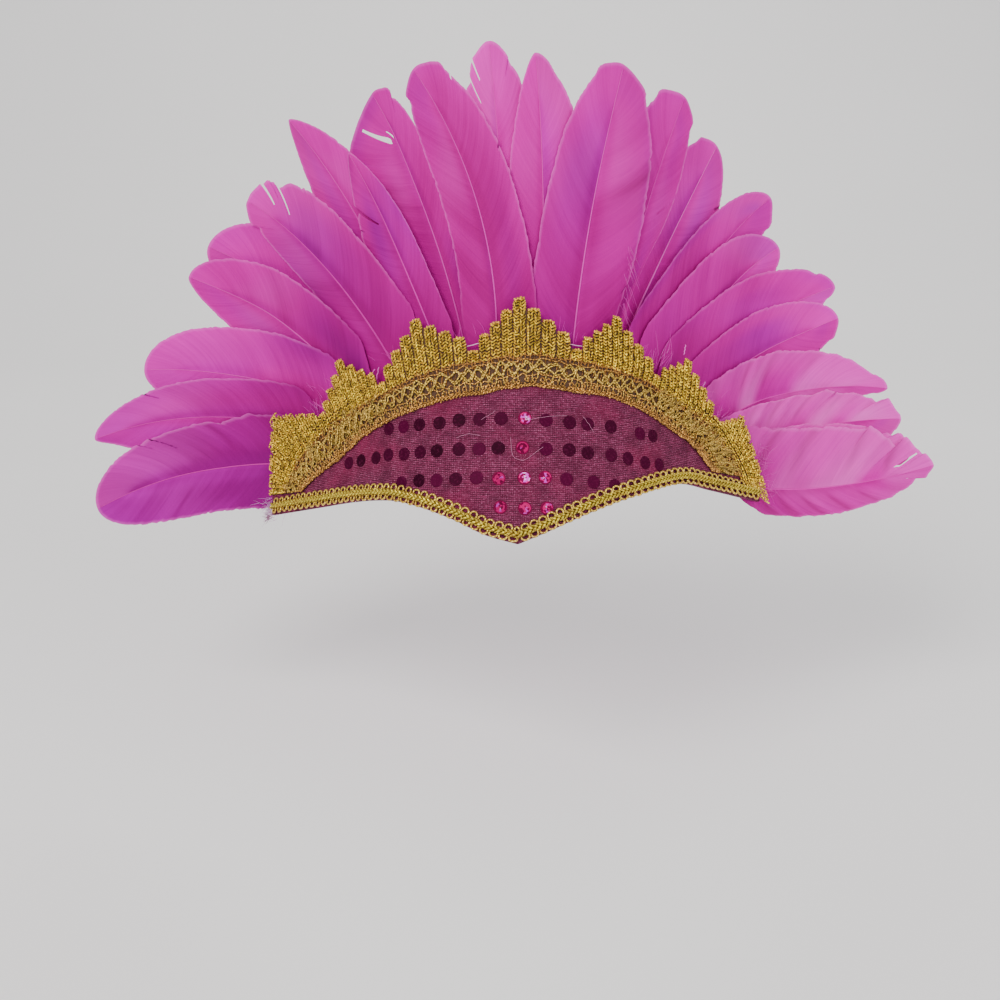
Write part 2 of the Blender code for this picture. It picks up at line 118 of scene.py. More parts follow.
LACE = np.array((
    # repeat, foot_along, foot_rise, lean, band, peak_lean, peak
    (-3.5, -0.840, 0.000, -88, 0.88, -88, 0.30),
    (-3.0, -0.760, 0.100, -46, 1.12, -46, 1.28),
    (-2.5, -0.650, 0.200, -30, 1.25, -36, 0.00),
    (-2.0, -0.540, 0.340, -23, 1.06, -26, 1.07),
    (-1.5, -0.410, 0.470, -21, 0.98, -18, 0.00),
    (-1.0, -0.280, 0.630, -10, 1.04, -10, 0.96),
    (-0.5, -0.130, 0.845, -2, 1.04, -5, 0.00),
    (0.0, 0.005, 1.000, 0, 1.00, 0, 0.99),
    (0.5, 0.170, 0.795, 5, 1.01, 0, 0.00),
    (1.0, 0.300, 0.640, 8, 0.94, 0, 0.92),
    (1.5, 0.430, 0.450, 21, 1.02, 5, 0.00),
    (2.0, 0.540, 0.280, 31, 1.04, 9, 0.85),
    (2.5, 0.640, 0.160, 51, 1.22, 20, 0.00),
    (3.0, 0.700, 0.065, 64, 1.26, 29, 0.83),
    (3.5, 0.740, 0.000, 91, 1.48, 91, 0.58),
))
FINGER_STEPS = (1.00, 0.74, 0.52, 0.32, 0.00)
# From this finger outwards the lace is cut off straight
CUT_FINGERS = 2.5 * FINGERS_PER_REPEAT
FIRST_FINGER, LAST_FINGER = LACE[0, 0] * FINGERS_PER_REPEAT, LACE[-1, 0] * FINGERS_PER_REPEAT

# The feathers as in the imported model, then how this one looks.
#   shade: 0 deep, 1 pale; violet: 0 pink, 1 violet; ripple: wave of the vanes in mm
FEATHERS = (
    # name, foot, height, heading, bow, length, left, right, left_tip, right_tip, tilt, shade, violet, ripple
    ("feather_left_01", -0.725, 0.37, -92, -46, 0.95, 1.09, 1.23, 1.0, 1.0, -1.0, 0.30, 0.75, 0.3),
    ("feather_left_02", -0.725, 0.70, -83, -47, 0.98, 1.00, 1.00, 0.3, 0.6, -1.0, 0.38, 0.45, 0.2),
    ("feather_left_03", -0.613, 0.73, -71, -35, 0.94, 1.05, 1.23, 0.9, 1.0, -1.0, 0.60, 0.25, 0.2),
    ("feather_left_04", -0.525, 0.79, -55, -24, 0.98, 1.00, 1.09, 0.4, 0.9, -1.0, 0.48, 0.20, 0.2),
    ("feather_left_05", -0.425, 0.77, -52, -20, 1.06, 1.00, 1.32, 0.9, 1.0, -1.0, 0.45, 0.20, 0.2),
    ("feather_left_06", -0.338, 0.77, -45, -24, 1.07, 0.73, 1.18, 0.9, 1.0, -0.5, 0.40, 0.10, 0.2),
    ("feather_left_07", -0.275, 0.78, -34, -22, 1.17, 0.95, 0.95, 0.2, 0.2, 0.0, 0.45, 0.10, 0.3),
    ("feather_left_08", -0.212, 0.80, -28, -17, 0.87, 0.91, 0.55, 0.2, 0.2, 0.0, 0.45, 0.10, 0.2),
    ("feather_left_09", -0.150, 0.80, -23, -25, 1.02, 1.77, 0.73, 1.0, 0.9, 0.0, 0.40, 0.15, 0.2),
    ("feather_left_10", -0.075, 0.78, -15, -43, 1.00, 0.82, 0.95, 1.0, 0.9, 0.0, 0.35, 0.05, 0.2),
    ("feather_centre_01", 0.000, 0.81, -5, -2, 0.99, 1.05, 1.09, 0.7, 0.6, 0.0, 0.65, 0.05, 0.2),
    ("feather_centre_02", 0.062, 0.82, 0, -11, 0.94, 0.86, 1.23, 0.35, 0.5, 0.0, 0.55, 0.05, 0.2),
    ("feather_centre_03", 0.163, 0.735, 11, 13, 0.99, 1.14, 1.50, 0.8, 1.0, -0.5, 0.46, 0.12, 0.2),
    ("feather_right_01", 0.237, 0.76, 23, 7, 1.03, 1.23, 0.77, 0.8, 0.9, -1.0, 0.44, 0.15, 0.2),
    ("feather_right_02", 0.312, 0.79, 32, 5, 1.01, 1.05, 1.18, 0.9, 0.9, 0.0, 0.50, 0.10, 0.2),
    ("feather_right_03", 0.375, 0.77, 43, 13, 1.04, 0.86, 0.95, 0.75, 0.8, 1.0, 0.50, 0.10, 0.2),
    ("feather_right_04", 0.450, 0.745, 47, 12, 0.91, 1.09, 0.91, 0.8, 0.8, 1.0, 0.55, 0.10, 0.2),
    ("feather_right_05", 0.537, 0.745, 56, 22, 0.95, 1.09, 0.82, 0.8, 0.5, 1.0, 0.60, 0.10, 0.2),
    ("feather_right_06", 0.637, 0.695, 57, 19, 0.84, 1.00, 0.86, 0.9, 0.7, 1.0, 0.60, 0.05, 0.2),
    ("feather_right_07", 0.713, 0.51, 70, 45, 0.88, 1.05, 0.82, 0.6, 0.2, 1.0, 0.80, -0.35, 0.6),
    ("feather_right_08", 0.725, 0.30, 74, 24, 0.88, 0.82, 0.73, 0.9, 0.8, 1.0, 0.85, -0.35, 0.7),
    ("feather_right_09", 0.738, 0.20, 80, 15, 0.87, 0.82, 0.73, 0.9, 0.7, 1.0, 0.85, -0.35, 0.6),
    ("feather_right_10", 0.750, 0.21, 83, -22, 0.93, 1.50, 0.68, 0.5, 0.4, 1.0, 0.80, -0.30, 0.7),
)

# Where vanes have come apart. side: 1 left, -1 right; end: share of the length at the edge;
# root and rim: shares of the barb between which it is open; gap: opening in mm
SPLITS = {
    # name: side, end, root, rim, gap
    "feather_left_06": (
        (-1, 0.905, 0.45, 1.0, 2.4), (-1, 0.970, 0.50, 1.0, 2.0), (1, 0.930, 0.72, 1.0, 1.6),
    ),
    "feather_left_08": (
        (1, 0.800, 0.30, 1.0, 3.0),
    ),
    "feather_left_09": (
        (1, 0.980, 0.12, 0.86, 4.4), (1, 0.992, 0.02, 0.30, 2.0), (1, 0.800, 0.80, 1.0, 2.0),
    ),
    "feather_left_10": (
        (-1, 0.905, 0.88, 1.0, 0.6),
    ),
    "feather_centre_01": (
        (1, 0.905, 0.60, 1.0, 1.0), (1, 0.955, 0.62, 1.0, 1.0),
    ),
    "feather_right_01": (
        (-1, 0.705, 0.45, 1.0, 2.4),
    ),
    "feather_right_04": (
        (-1, 0.760, 0.50, 1.0, 2.2),
    ),
    "feather_right_07": (
        (-1, 0.800, 0.30, 1.0, 1.0),
    ),
    "feather_right_10": (
        (1, 0.950, 0.40, 0.92, 4.0), (-1, 0.930, 0.65, 1.0, 1.2),
    ),
}

# Lobes and notches in the outline. end and width: shares of the length; swell: share of the vane's width
LOBES = {
    # name: side, end, width, swell
    "feather_left_01": (
        (-1, 0.42, 0.030, 0.05), (-1, 0.52, 0.025, -0.05),
    ),
    "feather_left_02": (
        (1, 0.96, 0.050, -0.15),
    ),
    "feather_left_06": (
        (-1, 0.900, 0.020, -0.16), (-1, 0.960, 0.018, 0.20), (1, 0.955, 0.020, 0.22),
        (1, 0.915, 0.012, -0.12),
    ),
    "feather_left_08": (
        (1, 0.800, 0.015, -0.14),
    ),
    "feather_left_09": (
        (1, 0.960, 0.045, 0.42), (1, 0.915, 0.014, 0.06), (-1, 0.965, 0.030, 0.30),
        (-1, 0.925, 0.012, -0.14),
    ),
    "feather_left_10": (
        (1, 0.965, 0.025, 0.26), (1, 0.925, 0.012, -0.08), (-1, 0.960, 0.028, 0.26),
    ),
    "feather_centre_01": (
        (1, 0.900, 0.012, -0.14), (1, 0.955, 0.018, 0.12), (-1, 0.930, 0.014, -0.10),
    ),
    "feather_centre_02": (
        (-1, 0.940, 0.030, -0.10),
    ),
    "feather_centre_03": (
        (-1, 0.200, 0.220, -0.34), (1, 0.965, 0.022, 0.22), (-1, 0.975, 0.018, 0.28),
    ),
    "feather_right_01": (
        (-1, 0.300, 0.260, -0.60), (1, 0.960, 0.028, 0.26), (-1, 0.965, 0.026, 0.34),
    ),
    "feather_right_02": (
        (1, 0.965, 0.020, 0.16),
    ),
    "feather_right_03": (
        (-1, 0.955, 0.022, 0.25),
    ),
    "feather_right_05": (
        (1, 0.945, 0.014, -0.12), (-1, 0.950, 0.020, -0.18),
    ),
    "feather_right_06": (
        (-1, 0.960, 0.024, 0.20),
    ),
    "feather_right_07": (
        (1, 0.930, 0.060, -0.28), (-1, 0.900, 0.060, -0.35),
    ),
    "feather_right_08": (
        (1, 0.700, 0.030, 0.10), (1, 0.900, 0.016, -0.22), (1, 0.955, 0.018, 0.35),
        (-1, 0.960, 0.020, 0.40),
    ),
    "feather_right_09": (
        (1, 0.870, 0.020, -0.20), (1, 0.950, 0.018, 0.35),
    ),
    "feather_right_10": (
        (-1, 0.080, 0.140, -0.80), (1, 0.780, 0.030, 0.10), (1, 0.868, 0.016, -0.18),
        (1, 0.915, 0.014, 0.20), (1, 0.958, 0.014, -0.25), (-1, 0.920, 0.016, -0.22),
        (-1, 0.955, 0.014, 0.25),
    ),
}

# Creases that run along the barbs, raised in the vane and given painted light and painted shade on their sides.
# place and width: shares of the length; height in mm, to the front
FOLDS = {
    # name: side, place, width, height
    "feather_left_01": (
        (-1, 0.46, 0.022, 0.9), (1, 0.66, 0.040, 0.6),
    ),
    "feather_left_03": (
        (1, 0.60, 0.060, 0.7),
    ),
    "feather_left_05": (
        (1, 0.72, 0.050, 0.7),
    ),
    "feather_left_09": (
        (1, 0.70, 0.050, 0.8),
    ),
    "feather_centre_03": (
        (-1, 0.66, 0.060, 0.9),
    ),
    "feather_right_07": (
        (1, 0.22, 0.040, 1.2), (1, 0.36, 0.030, 1.6), (1, 0.50, 0.040, 1.3), (1, 0.68, 0.050, 1.2),
        (-1, 0.60, 0.060, 0.9),
    ),
    "feather_right_08": (
        (1, 0.22, 0.038, 1.8), (1, 0.34, 0.036, 2.2), (1, 0.46, 0.034, 2.4), (1, 0.58, 0.036, 2.2),
        (1, 0.71, 0.038, 2.0), (1, 0.84, 0.030, 1.8),
    ),
    "feather_right_09": (
        (1, 0.45, 0.045, 1.8), (1, 0.70, 0.045, 1.8), (1, 0.90, 0.030, 1.8),
    ),
    "feather_right_10": (
        (1, 0.16, 0.034, 1.8), (1, 0.29, 0.050, 1.8), (1, 0.48, 0.070, 2.0), (1, 0.67, 0.040, 2.4),
        (1, 0.82, 0.036, 2.6), (-1, 0.20, 0.024, 1.5), (-1, 0.29, 0.024, 1.8), (-1, 0.38, 0.024, 2.0),
        (-1, 0.48, 0.024, 2.0), (-1, 0.58, 0.026, 1.8), (-1, 0.70, 0.030, 1.4),
    ),
}

# Quills that catch the light, from 0 to 1
BRIGHT_QUILLS = {
    "feather_left_03": 0.30,
    "feather_left_04": 0.25,
    "feather_left_05": 0.20,
    "feather_left_07": 0.20,
    "feather_left_09": 0.25,
    "feather_left_10": 0.15,
    "feather_centre_03": 0.25,
    "feather_right_02": 1.00,
    "feather_right_04": 0.30,
    "feather_right_05": 0.25,
    "feather_right_06": 0.25,
}

# Sequins in rows: height up the board, then the places along it, in mm
SEQUIN_ROWS = (
    (60.5, (-68, -59, -50, -39, -29, -18, -8, 3, 14, 25, 35, 47, 65, 73)),
    (46.5, (-98, -88, -77, -69, -59, -49, -40, -29, -19, -9, 2, 14, 25, 35, 47, 57, 68, 78)),
    (32.0, (-60, -50, -40, -30, -20, -9, 3, 13, 24, 37, 49)),
    (17.5, (-8, 3, 14)),
)

# How much of the light each bright sequin catches
BRIGHT_SEQUINS = {
    (3, 60.5): 0.75,
    (2, 46.5): 0.25,
    (3, 32.0): 1.00,
    (13, 32.0): 0.55,
    (-9, 32.0): 0.20,
    (3, 17.5): 0.45,
    (14, 17.5): 0.50,
    (-8, 17.5): 0.20,
}


# Curves through the tables


def smooth_curve(x, knots, values):
    """A cubic curve through the values at the knots, read at x."""
    slopes = np.gradient(values, knots)
    span = np.clip(np.searchsorted(knots, x, side="right") - 1, 0, len(knots) - 2)
    width = knots[span + 1] - knots[span]
    t = np.clip((x - knots[span]) / width, 0, 1)
    start = (1 + 2 * t) * (1 - t) ** 2 * values[span] + t * (1 - t) ** 2 * width * slopes[span]
    end = t**2 * (3 - 2 * t) * values[span + 1] - t**2 * (1 - t) * width * slopes[span + 1]
    return start + end


def smoothstep(x):
    x = np.clip(x, 0, 1)
    return x * x * (3 - 2 * x)


def running_sum(steps):
    return np.concatenate([[0], np.cumsum(steps)])


def edge_height(table, along, scale):
    share = np.minimum(np.abs(along) / BOARD_REACH, 1)
    left = smooth_curve(share, table[:, 0], table[:, 1])
    right = smooth_curve(share, table[:, 0], table[:, 2])
    return scale * np.where(np.asarray(along) < 0, left, right)


def lower_edge(along):
    return edge_height(LOWER_EDGE, along, BROW_RISE)


def upper_edge(along):
    return edge_height(UPPER_EDGE, along, CROWN_HEIGHT)


def braid_width_up(along):
    step = BOARD_REACH / 200
    side = np.where(np.asarray(along) < 0, -1, 1)
    slope = (lower_edge(along + side * step) - lower_edge(along)) / step
    return BRAID_WIDTH * np.sqrt(1 + slope**2)


def braid_top(along):
    return lower_edge(along) + BRAID_INSET + braid_width_up(along)


# The bend


def plan_curve():
    along = np.linspace(0, CHART_REACH, 2001)
    eased = smoothstep((along - BOARD_REACH) / WING_EASE)
    heading = np.minimum(along / BEND_RADIUS, BEND_ANGLE)
    heading = heading + (WING_ANGLE - BEND_ANGLE) * eased
    middle = (heading[1:] + heading[:-1]) / 2
    step = np.diff(along)
    x = running_sum(np.cos(middle) * step)
    y = running_sum(np.sin(middle) * step)
    return along, heading, x, y


PLAN = plan_curve()


def plan_place(along, out):
    way = np.abs(along)
    heading = np.interp(way, PLAN[0], PLAN[1])
    x = np.interp(way, PLAN[0], PLAN[2]) + out * np.sin(heading)
    y = np.interp(way, PLAN[0], PLAN[3]) - out * np.cos(heading)
    return np.sign(along) * x, y


def stand_up(x, y, up):
    y = y - BOARD_THICKNESS
    up = up - SEAT_HEIGHT
    world_y = y * math.cos(LEAN_BACK) + up * math.sin(LEAN_BACK)
    world_z = up * math.cos(LEAN_BACK) - y * math.sin(LEAN_BACK)
    return np.stack(np.broadcast_arrays(x, world_y, world_z), axis=-1)


def place(along, up, out):
    """World position of a place on the chart."""
    along, up, out = np.broadcast_arrays(np.asarray(along, float), up, out)
    x, y = plan_place(along, out)
    y = y - FEATHER_RECOVERY * np.maximum(0, up - CROWN_HEIGHT) ** 2
    return stand_up(x, y, up)


def chart_of(points):
    """The chart place of world points."""
    x, y, z = np.asarray(points).T
    up = y * math.sin(LEAN_BACK) + z * math.cos(LEAN_BACK) + SEAT_HEIGHT
    y = y * math.cos(LEAN_BACK) - z * math.sin(LEAN_BACK) + BOARD_THICKNESS
    y = y + FEATHER_RECOVERY * np.maximum(0, up - CROWN_HEIGHT) ** 2
    gap = (np.abs(x)[:, None] - PLAN[2]) ** 2 + (y[:, None] - PLAN[3]) ** 2
    near = gap.argmin(axis=1)
    heading = PLAN[1][near]
    out = (np.abs(x) - PLAN[2][near]) * np.sin(heading) - (y - PLAN[3][near]) * np.cos(heading)
    return np.sign(x) * PLAN[0][near], up, out


def axes_at(along, up, out):
    """Position and unit vectors along, up and out on the chart."""
    step = 0.0002
    here = place(along, up, out)
    vectors = [place(along + step, up, out) - here, place(along, up + step, out) - here]
    vectors.append(place(along, up, out + step) - here)
    return here, [v / np.linalg.norm(v, axis=-1, keepdims=True) for v in vectors]


# Mesh making


def add_mesh(name, points, faces, materials, replaces=(), uv=None, tone=None, slots=None):
    """A mesh piece that rides on the headdress. uv and tone hold a value for each point."""
    mesh = bpy.data.meshes.new(name)
    mesh.from_pydata(np.asarray(points).reshape(-1, 3).tolist(), [], faces)
    if uv is not None:
        layer = mesh.uv_layers.new(name="UVMap")
        corners = np.zeros(len(mesh.loops), dtype=np.int32)
        mesh.loops.foreach_get("vertex_index", corners)
        layer.data.foreach_set("uv", np.asarray(uv, float).reshape(-1, 2)[corners].ravel())
    if tone is not None:
        layer = mesh.color_attributes.new("tone", "FLOAT_COLOR", "POINT")
        colour = np.ones((len(mesh.vertices), 4))
        colour[:, :3] = np.asarray(tone).reshape(-1, 3)
        layer.data.foreach_set("color", colour.ravel())
    for material in materials:
        mesh.materials.append(material)
    if slots is not None:
        mesh.polygons.foreach_set("material_index", np.asarray(slots, dtype=np.int32))
    mesh.shade_smooth()
    obj = bpy.data.objects.new(name, mesh)
    bpy.context.scene.collection.objects.link(obj)
    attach(obj, "root")
    if replaces:
        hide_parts(*replaces)
    return obj


def grid_faces(rows, columns, start=0, closed=False):
    """Quads of a grid of points, row by row. A closed grid joins its last column to its first."""
    last = columns if closed else columns - 1
    faces = []
    for i in range(rows - 1):
        for j in range(last):
            k = (j + 1) % columns
            low = start + i * columns
            high = low + columns
            faces.append((low + j, low + k, high + k, high + j))
    return faces


def slab_faces(rows, columns):
    """Faces of two grids of points, one after the other, joined round their rims."""
    count = rows * columns
    faces = grid_faces(rows, columns)
    faces += [tuple(count + i for i in reversed(face)) for face in faces]
    rim = [*range(columns), *range(2 * columns - 1, count, columns)]
    rim += [*range(count - 2, count - columns - 1, -1), *range(count - 2 * columns, 0, -columns)]
    for i, j in zip(rim, rim[1:] + rim[:1]):
        faces.append((j, i, i + count, j + count))
    return faces


class Pile:
    """Many small shapes gathered into one mesh."""

    def __init__(self):
        self.points = []
        self.faces = []
        self.tones = []
        self.uvs = []
        self.count = 0

    def add(self, points, faces, tone=1.0, uv=None):
        points = np.asarray(points, float).reshape(-1, 3)
        self.points.append(points)
        self.faces.extend([tuple(i + self.count for i in face) for face in faces])
        self.tones.append(np.broadcast_to(np.asarray(tone, float), (len(points), 3)))
        self.uvs.append(np.zeros((len(points), 2)) if uv is None else np.asarray(uv).reshape(-1, 2))
        self.count += len(points)

    def tube(self, path, radius, sides=6, tone=1.0, normal=None):
        """A tube along a path, closed at both ends."""
        path = np.asarray(path, float)
        radius = np.broadcast_to(np.asarray(radius, float), len(path))
        ahead = np.gradient(path, axis=0)
        ahead /= np.linalg.norm(ahead, axis=1, keepdims=True) + 1e-12
        guide = np.array([0.0, -1.0, 0.3]) if normal is None else np.asarray(normal)
        side = np.cross(ahead, guide)
        side /= np.linalg.norm(side, axis=-1, keepdims=True) + 1e-12
        up = np.cross(side, ahead)
        angles = np.linspace(0, 2 * math.pi, sides, endpoint=False)
        turned = np.cos(angles)[None, :, None] * side[:, None]
        ring = turned + np.sin(angles)[None, :, None] * up[:, None]
        points = path[:, None] + ring * radius[:, None, None]
        faces = grid_faces(len(path), sides, closed=True)
        faces.append(tuple(reversed(range(sides))))
        faces.append(tuple(range((len(path) - 1) * sides, len(path) * sides)))
        length = running_sum(np.linalg.norm(np.diff(path, axis=0), axis=1))
        uv = np.stack(np.broadcast_arrays(length[:, None] * 1000, np.linspace(0, 1, sides)[None]), axis=-1)
        if np.ndim(tone) == 2:
            tone = np.repeat(np.asarray(tone), sides, axis=0)
        self.add(points, faces, tone, uv)

    def beads(self, centres, axis_a, axis_b, axis_c, tones, segments, rings):
        """Ellipsoids with the given half-axis vectors."""
        base, faces = unit_sphere(segments, rings)
        centres = np.asarray(centres)
        points = (
            centres[:, None]
            + base[None, :, 0:1] * axis_a[:, None]
            + base[None, :, 1:2] * axis_b[:, None]
            + base[None, :, 2:3] * axis_c[:, None]
        )
        uv = np.broadcast_to(base[None, :, :2], (len(centres), len(base), 2))
        tones = np.repeat(tones[:, None], len(base), axis=1)
        all_faces = [tuple(i + k * len(base) for i in face) for k in range(len(centres)) for face in faces]
        self.add(points, all_faces, tones.reshape(-1, 3), uv)

    def make(self, name, materials, slot, replaces=(), slots=None):
        points = np.concatenate(self.points)
        tone = np.concatenate(self.tones)
        uv = np.concatenate(self.uvs)
        return add_mesh(name, points, self.faces, materials, replaces, uv, tone, slots)


def unit_sphere(segments, rings):
    points = [(0, 0, 1)]
    for i in range(1, rings):
        lift = math.pi * i / rings
        for j in range(segments):
            turn = 2 * math.pi * j / segments
            points.append((math.sin(lift) * math.cos(turn), math.sin(lift) * math.sin(turn), math.cos(lift)))
    points.append((0, 0, -1))
    faces = []
    for j in range(segments):
        k = (j + 1) % segments
        faces.append((0, 1 + j, 1 + k))
        low = 1 + (rings - 2) * segments
        faces.append((low + k, low + j, len(points) - 1))
    for i in range(rings - 2):
        for j in range(segments):
            k = (j + 1) % segments
            low = 1 + i * segments
            faces.append((low + j, low + segments + j, low + segments + k, low + k))
    return np.array(points), faces


# Materials


def srgb(code):
    """Linear colour of a hexadecimal display colour."""
    parts = [int(code[i : i + 2], 16) / 255 for i in (0, 2, 4)]
    return np.array([c / 12.92 if c <= 0.04045 else ((c + 0.055) / 1.055) ** 2.4 for c in parts])


class Nodes:
    """Short calls for making a node material."""

    def __init__(self, name):
        self.material = bpy.data.materials.new(name)
        self.material.use_nodes = True
        self.tree = self.material.node_tree
        self.shader = self.tree.nodes["Principled BSDF"]
        self.output = self.tree.nodes["Material Output"]

    def add(self, kind, **settings):
        node = self.tree.nodes.new(kind)
        for key, value in settings.items():
            setattr(node, key, value)
        return node

    def link(self, source, target):
        self.tree.links.new(source, target)

    def set(self, socket, value):
        self.shader.inputs[socket].default_value = value

    def feed(self, socket, source):
        self.link(source, self.shader.inputs[socket])

    def uv(self, scale):
        """UV coordinates times scale."""
        coordinates = self.add("ShaderNodeUVMap", uv_map="UVMap")
        mapping = self.add("ShaderNodeMapping")
        mapping.inputs["Scale"].default_value = scale
        self.link(coordinates.outputs[0], mapping.inputs["Vector"])
        return mapping.outputs[0]

    def place(self, scale):
        """Object coordinates times scale."""
        coordinates = self.add("ShaderNodeTexCoord")
        mapping = self.add("ShaderNodeMapping")
        mapping.inputs["Scale"].default_value = scale
        self.link(coordinates.outputs["Object"], mapping.inputs["Vector"])
        return mapping.outputs[0]

    def noise(self, vector, scale=1.0, detail=2.0, roughness=0.5):
        node = self.add("ShaderNodeTexNoise")
        node.inputs["Scale"].default_value = scale
        node.inputs["Detail"].default_value = detail
        node.inputs["Roughness"].default_value = roughness
        self.link(vector, node.inputs["Vector"])
        return node.outputs[0]

    def wave(self, vector, scale=1.0, distortion=0.0, direction="X"):
        node = self.add("ShaderNodeTexWave", bands_direction=direction)
        node.inputs["Scale"].default_value = scale
        node.inputs["Distortion"].default_value = distortion
        node.inputs["Detail"].default_value = 0.0
        self.link(vector, node.inputs["Vector"])
        return node.outputs[1]

    def remap(self, value, low, high, to_low=0.0, to_high=1.0):
        node = self.add("ShaderNodeMapRange")
        node.inputs["From Min"].default_value = low
        node.inputs["From Max"].default_value = high
        node.inputs["To Min"].default_value = to_low
        node.inputs["To Max"].default_value = to_high
        self.link(value, node.inputs["Value"])
        return node.outputs[0]

    def math(self, operation, a, b):
        node = self.add("ShaderNodeMath", operation=operation)
        for socket, value in zip(node.inputs, (a, b)):
            if isinstance(value, (int, float)):
                socket.default_value = value
            else:
                self.link(value, socket)
        return node.outputs[0]

    def mix(self, factor, a, b, blend="MIX"):
        """Mixes two colours, given as sockets or linear triples."""
        node = self.add("ShaderNodeMix", data_type="RGBA", blend_type=blend)
        colours = [socket for socket in node.inputs if socket.type == "RGBA"]
        factors = [socket for socket in node.inputs if socket.type == "VALUE"]
        for socket, value in ((factors[0], factor), (colours[0], a), (colours[1], b)):
            if isinstance(value, (int, float)):
                socket.default_value = value
            elif isinstance(value, bpy.types.NodeSocket):
                self.link(value, socket)
            else:
                socket.default_value = (*value, 1)
        return [socket for socket in node.outputs if socket.type == "RGBA"][0]

    def tone(self):
        node = self.add("ShaderNodeAttribute", attribute_name="tone")
        return node.outputs["Color"]

    def bump(self, height, strength, distance, normal=None):
        node = self.add("ShaderNodeBump")
        node.inputs["Strength"].default_value = strength
        node.inputs["Distance"].default_value = distance
        self.link(height, node.inputs["Height"])
        if normal is not None:
            self.link(normal, node.inputs["Normal"])
        return node.outputs[0]


def feather_material():
    """Dyed vane: colour painted on the mesh, the dye together with painted light and shade, finely streaked
    along the barbs, with a soft silky look.
    """
    n = Nodes("dyed_vane_and_painted_light")
    fine = n.noise(n.uv((1.9, 0.05, 1)), detail=3.0, roughness=0.65)
    strand = n.noise(n.uv((0.45, 0.02, 1)))
    value = n.add("ShaderNodeHueSaturation")
    n.link(n.tone(), value.inputs["Color"])
    both = n.math("ADD", n.remap(fine, 0.3, 0.7, -0.06, 0.06), n.remap(strand, 0.3, 0.7, -0.05, 0.05))
    parted = n.noise(n.uv((0.9, 0.035, 1)), detail=1.0)
    lines = n.remap(parted, 0.62, 0.70, 1.0, 0.88)
    n.link(n.math("ADD", both, lines), value.inputs["Value"])
    n.feed("Base Color", value.outputs[0])
    n.set("Roughness", 0.50)
    n.set("Specular IOR Level", 0.06)
    n.set("Specular Tint", (1.0, 0.45, 0.85, 1))
    barbs = n.bump(fine, 0.35, 0.0003)
    n.feed("Normal", n.bump(strand, 0.20, 0.0008, barbs))
    through = n.add("ShaderNodeBsdfTranslucent")
    n.link(value.outputs[0], through.inputs["Color"])
    mixed = n.add("ShaderNodeMixShader")
    mixed.inputs[0].default_value = 0.20
    n.link(n.shader.outputs[0], mixed.inputs[1])
    n.link(through.outputs[0], mixed.inputs[2])
    n.link(mixed.outputs[0], n.output.inputs["Surface"])
    return n.material


def quill_material():
    n = Nodes("dyed_quill")
    streak = n.noise(n.uv((0.15, 6.0, 1)))
    colour = n.mix(n.remap(streak, 0.3, 0.7, 0.0, 0.10), n.tone(), tuple(WHITISH))
    n.feed("Base Color", colour)
    n.set("Roughness", 0.40)
    n.set("Specular IOR Level", 0.15)
    return n.material


def fibre_material():
    n = Nodes("loose_fibre")
    streak = n.noise(n.place((1, 1, 1)), scale=500.0, detail=1.0)
    n.feed("Base Color", n.mix(n.remap(streak, 0.3, 0.7, 0.0, 0.25), n.tone(), (0.5, 0.2, 0.4)))
    n.set("Roughness", 0.55)
    return n.material


def yarn_material(name, deep, bright, metallic, twist):
    """Metallic yarn, whose wraps show as fine slanted stripes, darker between the wraps as painted shade and
    with bright specks as painted glints.
    """
    n = Nodes(name)
    grain = n.noise(n.place((1, 1, 1)), scale=1500.0, roughness=0.6)
    patch = n.noise(n.place((1, 1, 1)), scale=170.0, detail=1.0)
    stripes = n.wave(n.uv((twist, 0.35, 1)), distortion=1.2, direction="DIAGONAL")
    # painted glints in bright specks on the wraps and painted shade between them
    wrap_glint_and_shade = n.math("MULTIPLY", n.remap(grain, 0.34, 0.58), n.remap(stripes, 0.05, 0.75, 0.30, 1.0))
    gold = n.mix(wrap_glint_and_shade, deep, bright)
    toned = n.mix(1.0, gold, n.tone(), "MULTIPLY")
    n.feed("Base Color", n.mix(n.remap(patch, 0.50, 0.80, 0.0, 0.30), toned, (0.30, 0.12, 0.03)))
    n.set("Metallic", metallic)
    n.feed("Roughness", n.remap(grain, 0.3, 0.7, 0.42, 0.24))
    n.feed("Normal", n.bump(n.math("ADD", stripes, grain), 0.6, 0.00018))
    return n.material


def net_and_shadow_material():
    """The dark ground of the lace, which shows between its yarns: partly the lace's net, partly painted shadow
    in its holes.
    """
    n = Nodes("lace_ground_and_shadow")
    grain = n.noise(n.uv((1.0, 1.0, 1)), scale=2.4, detail=3.0, roughness=0.7)
    n.feed("Base Color", n.mix(n.remap(grain, 0.35, 0.65), (0.018, 0.006, 0.003), (0.11, 0.040, 0.012)))
    n.set("Roughness", 0.7)
    n.feed("Normal", n.bump(grain, 0.9, 0.0004))
    return n.material


